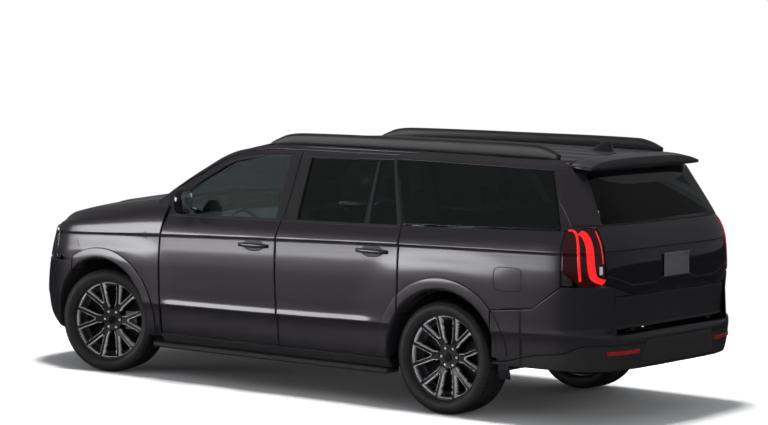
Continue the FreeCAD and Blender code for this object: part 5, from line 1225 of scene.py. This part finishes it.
r, a = np.meshgrid(np.linspace(0.0005, FACE_RADIUS, 96), np.linspace(0, 2 * np.pi, 361)[:-1], indexing="ij")
local = (a + np.pi / SPOKES) % (2 * np.pi / SPOKES) - np.pi / SPOKES
lateral, along = np.abs(r * np.sin(local)), r * np.cos(local)
depth = metal_depth(r, along, lateral, np.minimum, np.maximum, np.abs)
face = smooth_step(depth, -0.0040, 0.0015)
dish = 0.058 + 0.040 * np.clip((r - 0.05) / 0.24, 0, 1) ** 1.6
height = -0.005 + (dish + 0.005) * face - 0.006 * smooth_step(depth, 0.0045, 0.0085) * (r > HUB_RADIUS)
to_lug = np.hypot(along - LUG_CIRCLE, lateral)
height = height + 0.010 * smooth_step(-to_lug, -0.0105, -0.0080) - 0.012 * smooth_step(-to_lug, -0.015,
                                                                                       -0.0125)
height = height + 0.012 * smooth_step(-r, -CAP_RADIUS - 0.002, -CAP_RADIUS + 0.003)
rim_points = np.stack([r * np.cos(a), height, r * np.sin(a)], axis=-1)
lip_line = np.array([(0.292, 0.040), (0.296, 0.088), (0.299, 0.100), (0.303, 0.1065), (0.308, 0.1075),
                     (0.311, 0.104),
                     (0.309, 0.096), (0.298, 0.080), (0.291, 0.0), (0.291, -0.095), (0.309, -0.110),
                     (0.311, -0.106)])
lip_r, lip_y = lip_line[:, 0], lip_line[:, 1]
lip_angle = np.linspace(0, 2 * np.pi, 97)[:-1][:, None]
lip_points = np.stack([lip_r * np.cos(lip_angle), lip_y + 0 * lip_angle, lip_r * np.sin(lip_angle)], axis=-1)
rim_lip = brushed_metal("rim_lip", (0.26, 0.26, 0.27), 0.25)
for place_name, front, side, turn in (("front_left", True, "left", 1.0), ("front_right", True, "right", -1.0),
                                      ("rear_left", False, "left", 1.0), ("rear_right", False, "right",
                                                                          -1.0)):
    body = "wheel_" + place_name
    mesh = grid_mesh("tyre_" + place_name + "_skin", on_wheel(tyre_points, front, turn), "out",
                     wrap_rows=True)
    piece("tyre_" + place_name + "_skin", mesh, tread, body, ["tyre_" + place_name])
    facing = on_wheel(np.array([0.0, 1.0, 0.0]), front, turn) - on_wheel(np.zeros(3), front, turn)
    mesh = grid_mesh("rim_" + place_name + "_face", on_wheel(rim_points, front, turn), facing,
                     wrap_columns=True)
    piece("rim_" + place_name + "_face", mesh, alloy, body, ["rim_" + place_name])
    mesh = grid_mesh("rim_" + place_name + "_lip", on_wheel(lip_points, front, turn), None, wrap_rows=True)
    piece("rim_" + place_name + "_lip", mesh, rim_lip, body)


# Nose: painted bumper skins over a black grille and intakes, with dark headlamps at the
# corners. The intakes are dark mouldings set behind the painted ones.
def nose_wrap(s, z):
    """Nose at a run s across it, growing to the right: 0 in the middle and 1 at the corner of the plan."""
    run = np.abs(s)
    across = np.interp(run, nose_run, nose_across)
    along = np.interp(run, nose_run, nose_along)
    x = FRONT_CORNER + (front_x(z) - FRONT_CORNER) * along
    x_clipped = np.minimum(x, 2.5)
    y = (row_width(wing_rows(x_clipped), z) - plan_taper(x_clipped)) * across
    return np.stack([x, -np.sign(s) * y, z + 0 * s], axis=-1)


nose_across, nose_along = np.sin(phi) ** (2 / 3.0), np.cos(phi) ** (2 / 3.6)
nose_run = np.concatenate([[0], np.cumsum(np.hypot(np.diff(nose_across) * 0.98, np.diff(nose_along) * 0.85))])
nose_run /= nose_run[-1]


def nose_place(axis, value):
    heights = np.linspace(0.30, 1.18, 30)
    runs = np.linspace(0.02, 1.0, 400)
    found = []
    for z in heights:
        line = np.abs(nose_wrap(runs, z + 0 * runs)[:, axis])
        order = np.argsort(line)
        found.append(np.interp(value(z) if callable(value) else value, line[order], runs[order]))
    return straight_through(*zip(heights, found))


def nose_back_x(z):
    """Rear edge of the nose corner: its seam with the wing, and the wheel opening below that."""
    return np.maximum(BUMPER_NOSE_X, FRONT_AXLE + opening_half(z - WHEEL_RADIUS) + OPENING_GAP)


grille_side, nose_side = nose_place(1, 0.636), nose_place(0, nose_back_x)
points = panel(nose_wrap, lambda z: -grille_side(z), grille_side, 0.566, 0.758, (90, 16), stand=SKIN)
piece("nose_bar_skin", grid_mesh("nose_bar_skin", points, (1, 0, 0)), paint, "body")
points = panel(nose_wrap, lambda z: -nose_side(z), lambda z: -grille_side(z), 0.302, 0.852, (40, 40),
               stand=SKIN,
               hems=(1, 0, 1, 1))
both_sides("nose_corner_skin", points, paint, "body", outward=(1, 0.5, 0))
points = panel(nose_wrap, lambda z: -grille_side(z), grille_side, 0.302, 0.404, (90, 8), stand=SKIN)
piece("nose_valance", grid_mesh("nose_valance", points, (1, 0, 0)), black_plastic, "body")
points = panel(nose_wrap, lambda z: -grille_side(z), grille_side, 0.402, 0.568, (90, 10), stand=-0.040,
               hems=(0, 0, 0, 0))
piece("lower_intake_panel", grid_mesh("lower_intake_panel", points, (1, 0, 0)), black_plastic, "body")
headlamp_glass = lamp_lens("headlamp_lens", (0.02, 0.021, 0.022), (0.05, 0.052, 0.055), (0.0, 0.0, 0.0),
                           300.0)
headlamp_bar = lamp_lens("headlamp_bar", (0.55, 0.56, 0.58), (0.75, 0.76, 0.78), (0.25, 0.25, 0.26))
lamp_in, lamp_out = nose_place(1, 0.648), nose_place(0, 2.400)
points = panel(nose_wrap, lambda z: -lamp_out(z), lambda z: -lamp_in(z), 0.866, 1.112, (30, 30), stand=0.003)
both_sides("headlamp_lens", points, headlamp_glass, "body", (1, 0.5, 0))
points = panel(nose_wrap, lambda z: -lamp_out(z) + 0.01, lambda z: -lamp_in(z) - 0.01, 1.078, 1.098, (30, 4),
               stand=0.006)
both_sides("headlamp_light_bar", points, headlamp_bar, "body", (1, 0.5, 0))

# Seats: leather cushions over foam on three rows, each with a leaned back and headrests, bolted to the floor.
# Their soft folds come from a fine noise.
leather = moulded_plastic("seat_leather", (0.030, 0.029, 0.028), 0.45, 350.0, 0.25)
SEAT_LEAN = np.radians(17.0)
soft_folds = bpy.data.textures.new("soft_folds", "CLOUDS")
soft_folds.noise_scale = 0.10
for row, x, y, floor_z, width, depth, back_high, rests in (
        ("front", 0.760, 0.400, 0.494, 0.530, 0.520, 0.560, (0.0,)),
        ("second", -0.170, 0.400, 0.494, 0.560, 0.500, 0.540, (0.0,)),
        ("third", -1.010, 0.0, 0.688, 1.180, 0.460, 0.470, (-0.330, 0.330))):
    replaced = ["seats_" + row]
    for side in ((1.0, -1.0) if y else (1.0,)):
        label = "seat_%s_%s" % (row, "middle" if not y else "left" if side > 0 else "right")
        back_low, foot_x = floor_z + 0.320, x - depth + 0.060
        run = back_high * np.tan(SEAT_LEAN)
        parts = [("cushion", (x - depth / 2, y * side, floor_z + 0.245), (depth / 2, width / 2, 0.076), 0.0),
                 ("back", (foot_x - run / 2 - 0.080, y * side, back_low + back_high / 2),
                  (0.060, width / 2, back_high / 2 / np.cos(SEAT_LEAN)), SEAT_LEAN)]
        for k, rest in enumerate(rests):
            parts.append(("rest_%d" % k, (foot_x - run - 0.067, y * side + rest,
                                          back_low + back_high + 0.103),
                          (0.051, 0.120, 0.087), 0.0))
        for part_name, centre, half, lean in parts:
            points = cushion(centre, half, 4.0, lean)
            made = piece(label + "_" + part_name,
                         grid_mesh(label + "_" + part_name, points, "out", wrap_columns=True),
                         leather, "body", replaced)
            finer = made.modifiers.new("finer", "SUBSURF")
            finer.levels = finer.render_levels = 1
            wrinkles = made.modifiers.new("wrinkles", "DISPLACE")
            wrinkles.texture = soft_folds
            wrinkles.texture_coords = "LOCAL"
            wrinkles.strength = 0.008
            wrinkles.mid_level = 0.75
            replaced = []

# Finishes of the solids that stay in view: painted shells behind the skins, the steel and cast undercarriage,
# the plastic liners and steps, and the cabin's trim.
dark_steel = moulded_plastic("painted_chassis", (0.014, 0.014, 0.015), 0.45, 80.0, 0.1)
cast_metal = brushed_metal("cast_metal", (0.22, 0.22, 0.23), 0.45)
cabin_trim = moulded_plastic("cabin_trim", (0.022, 0.021, 0.020), 0.6)
solid_finishes = {
    paint: ("door_front_left", "door_front_right", "door_rear_left", "door_rear_right", "body_sides", "roof",
            "fenders", "bumper_front", "bumper_rear", "liftgate", "tailgate", "hood"),
    gloss_black: ("grille",),
    headlamp_glass: ("headlamps",),
    cast_metal: ("knuckle_left", "knuckle_right", "powertrain", "exhaust"),
    dark_steel: ("frame", "rear_axle", "fuel_tank", "floor", "cowl"),
    cabin_trim: ("dashboard", "steering_wheel"),
    black_plastic: ("arch_liners", "running_boards")}
for finish, names in solid_finishes.items():
    for name in names:
        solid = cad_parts[name]
        solid.data.materials.clear()
        solid.data.materials.append(finish.material)
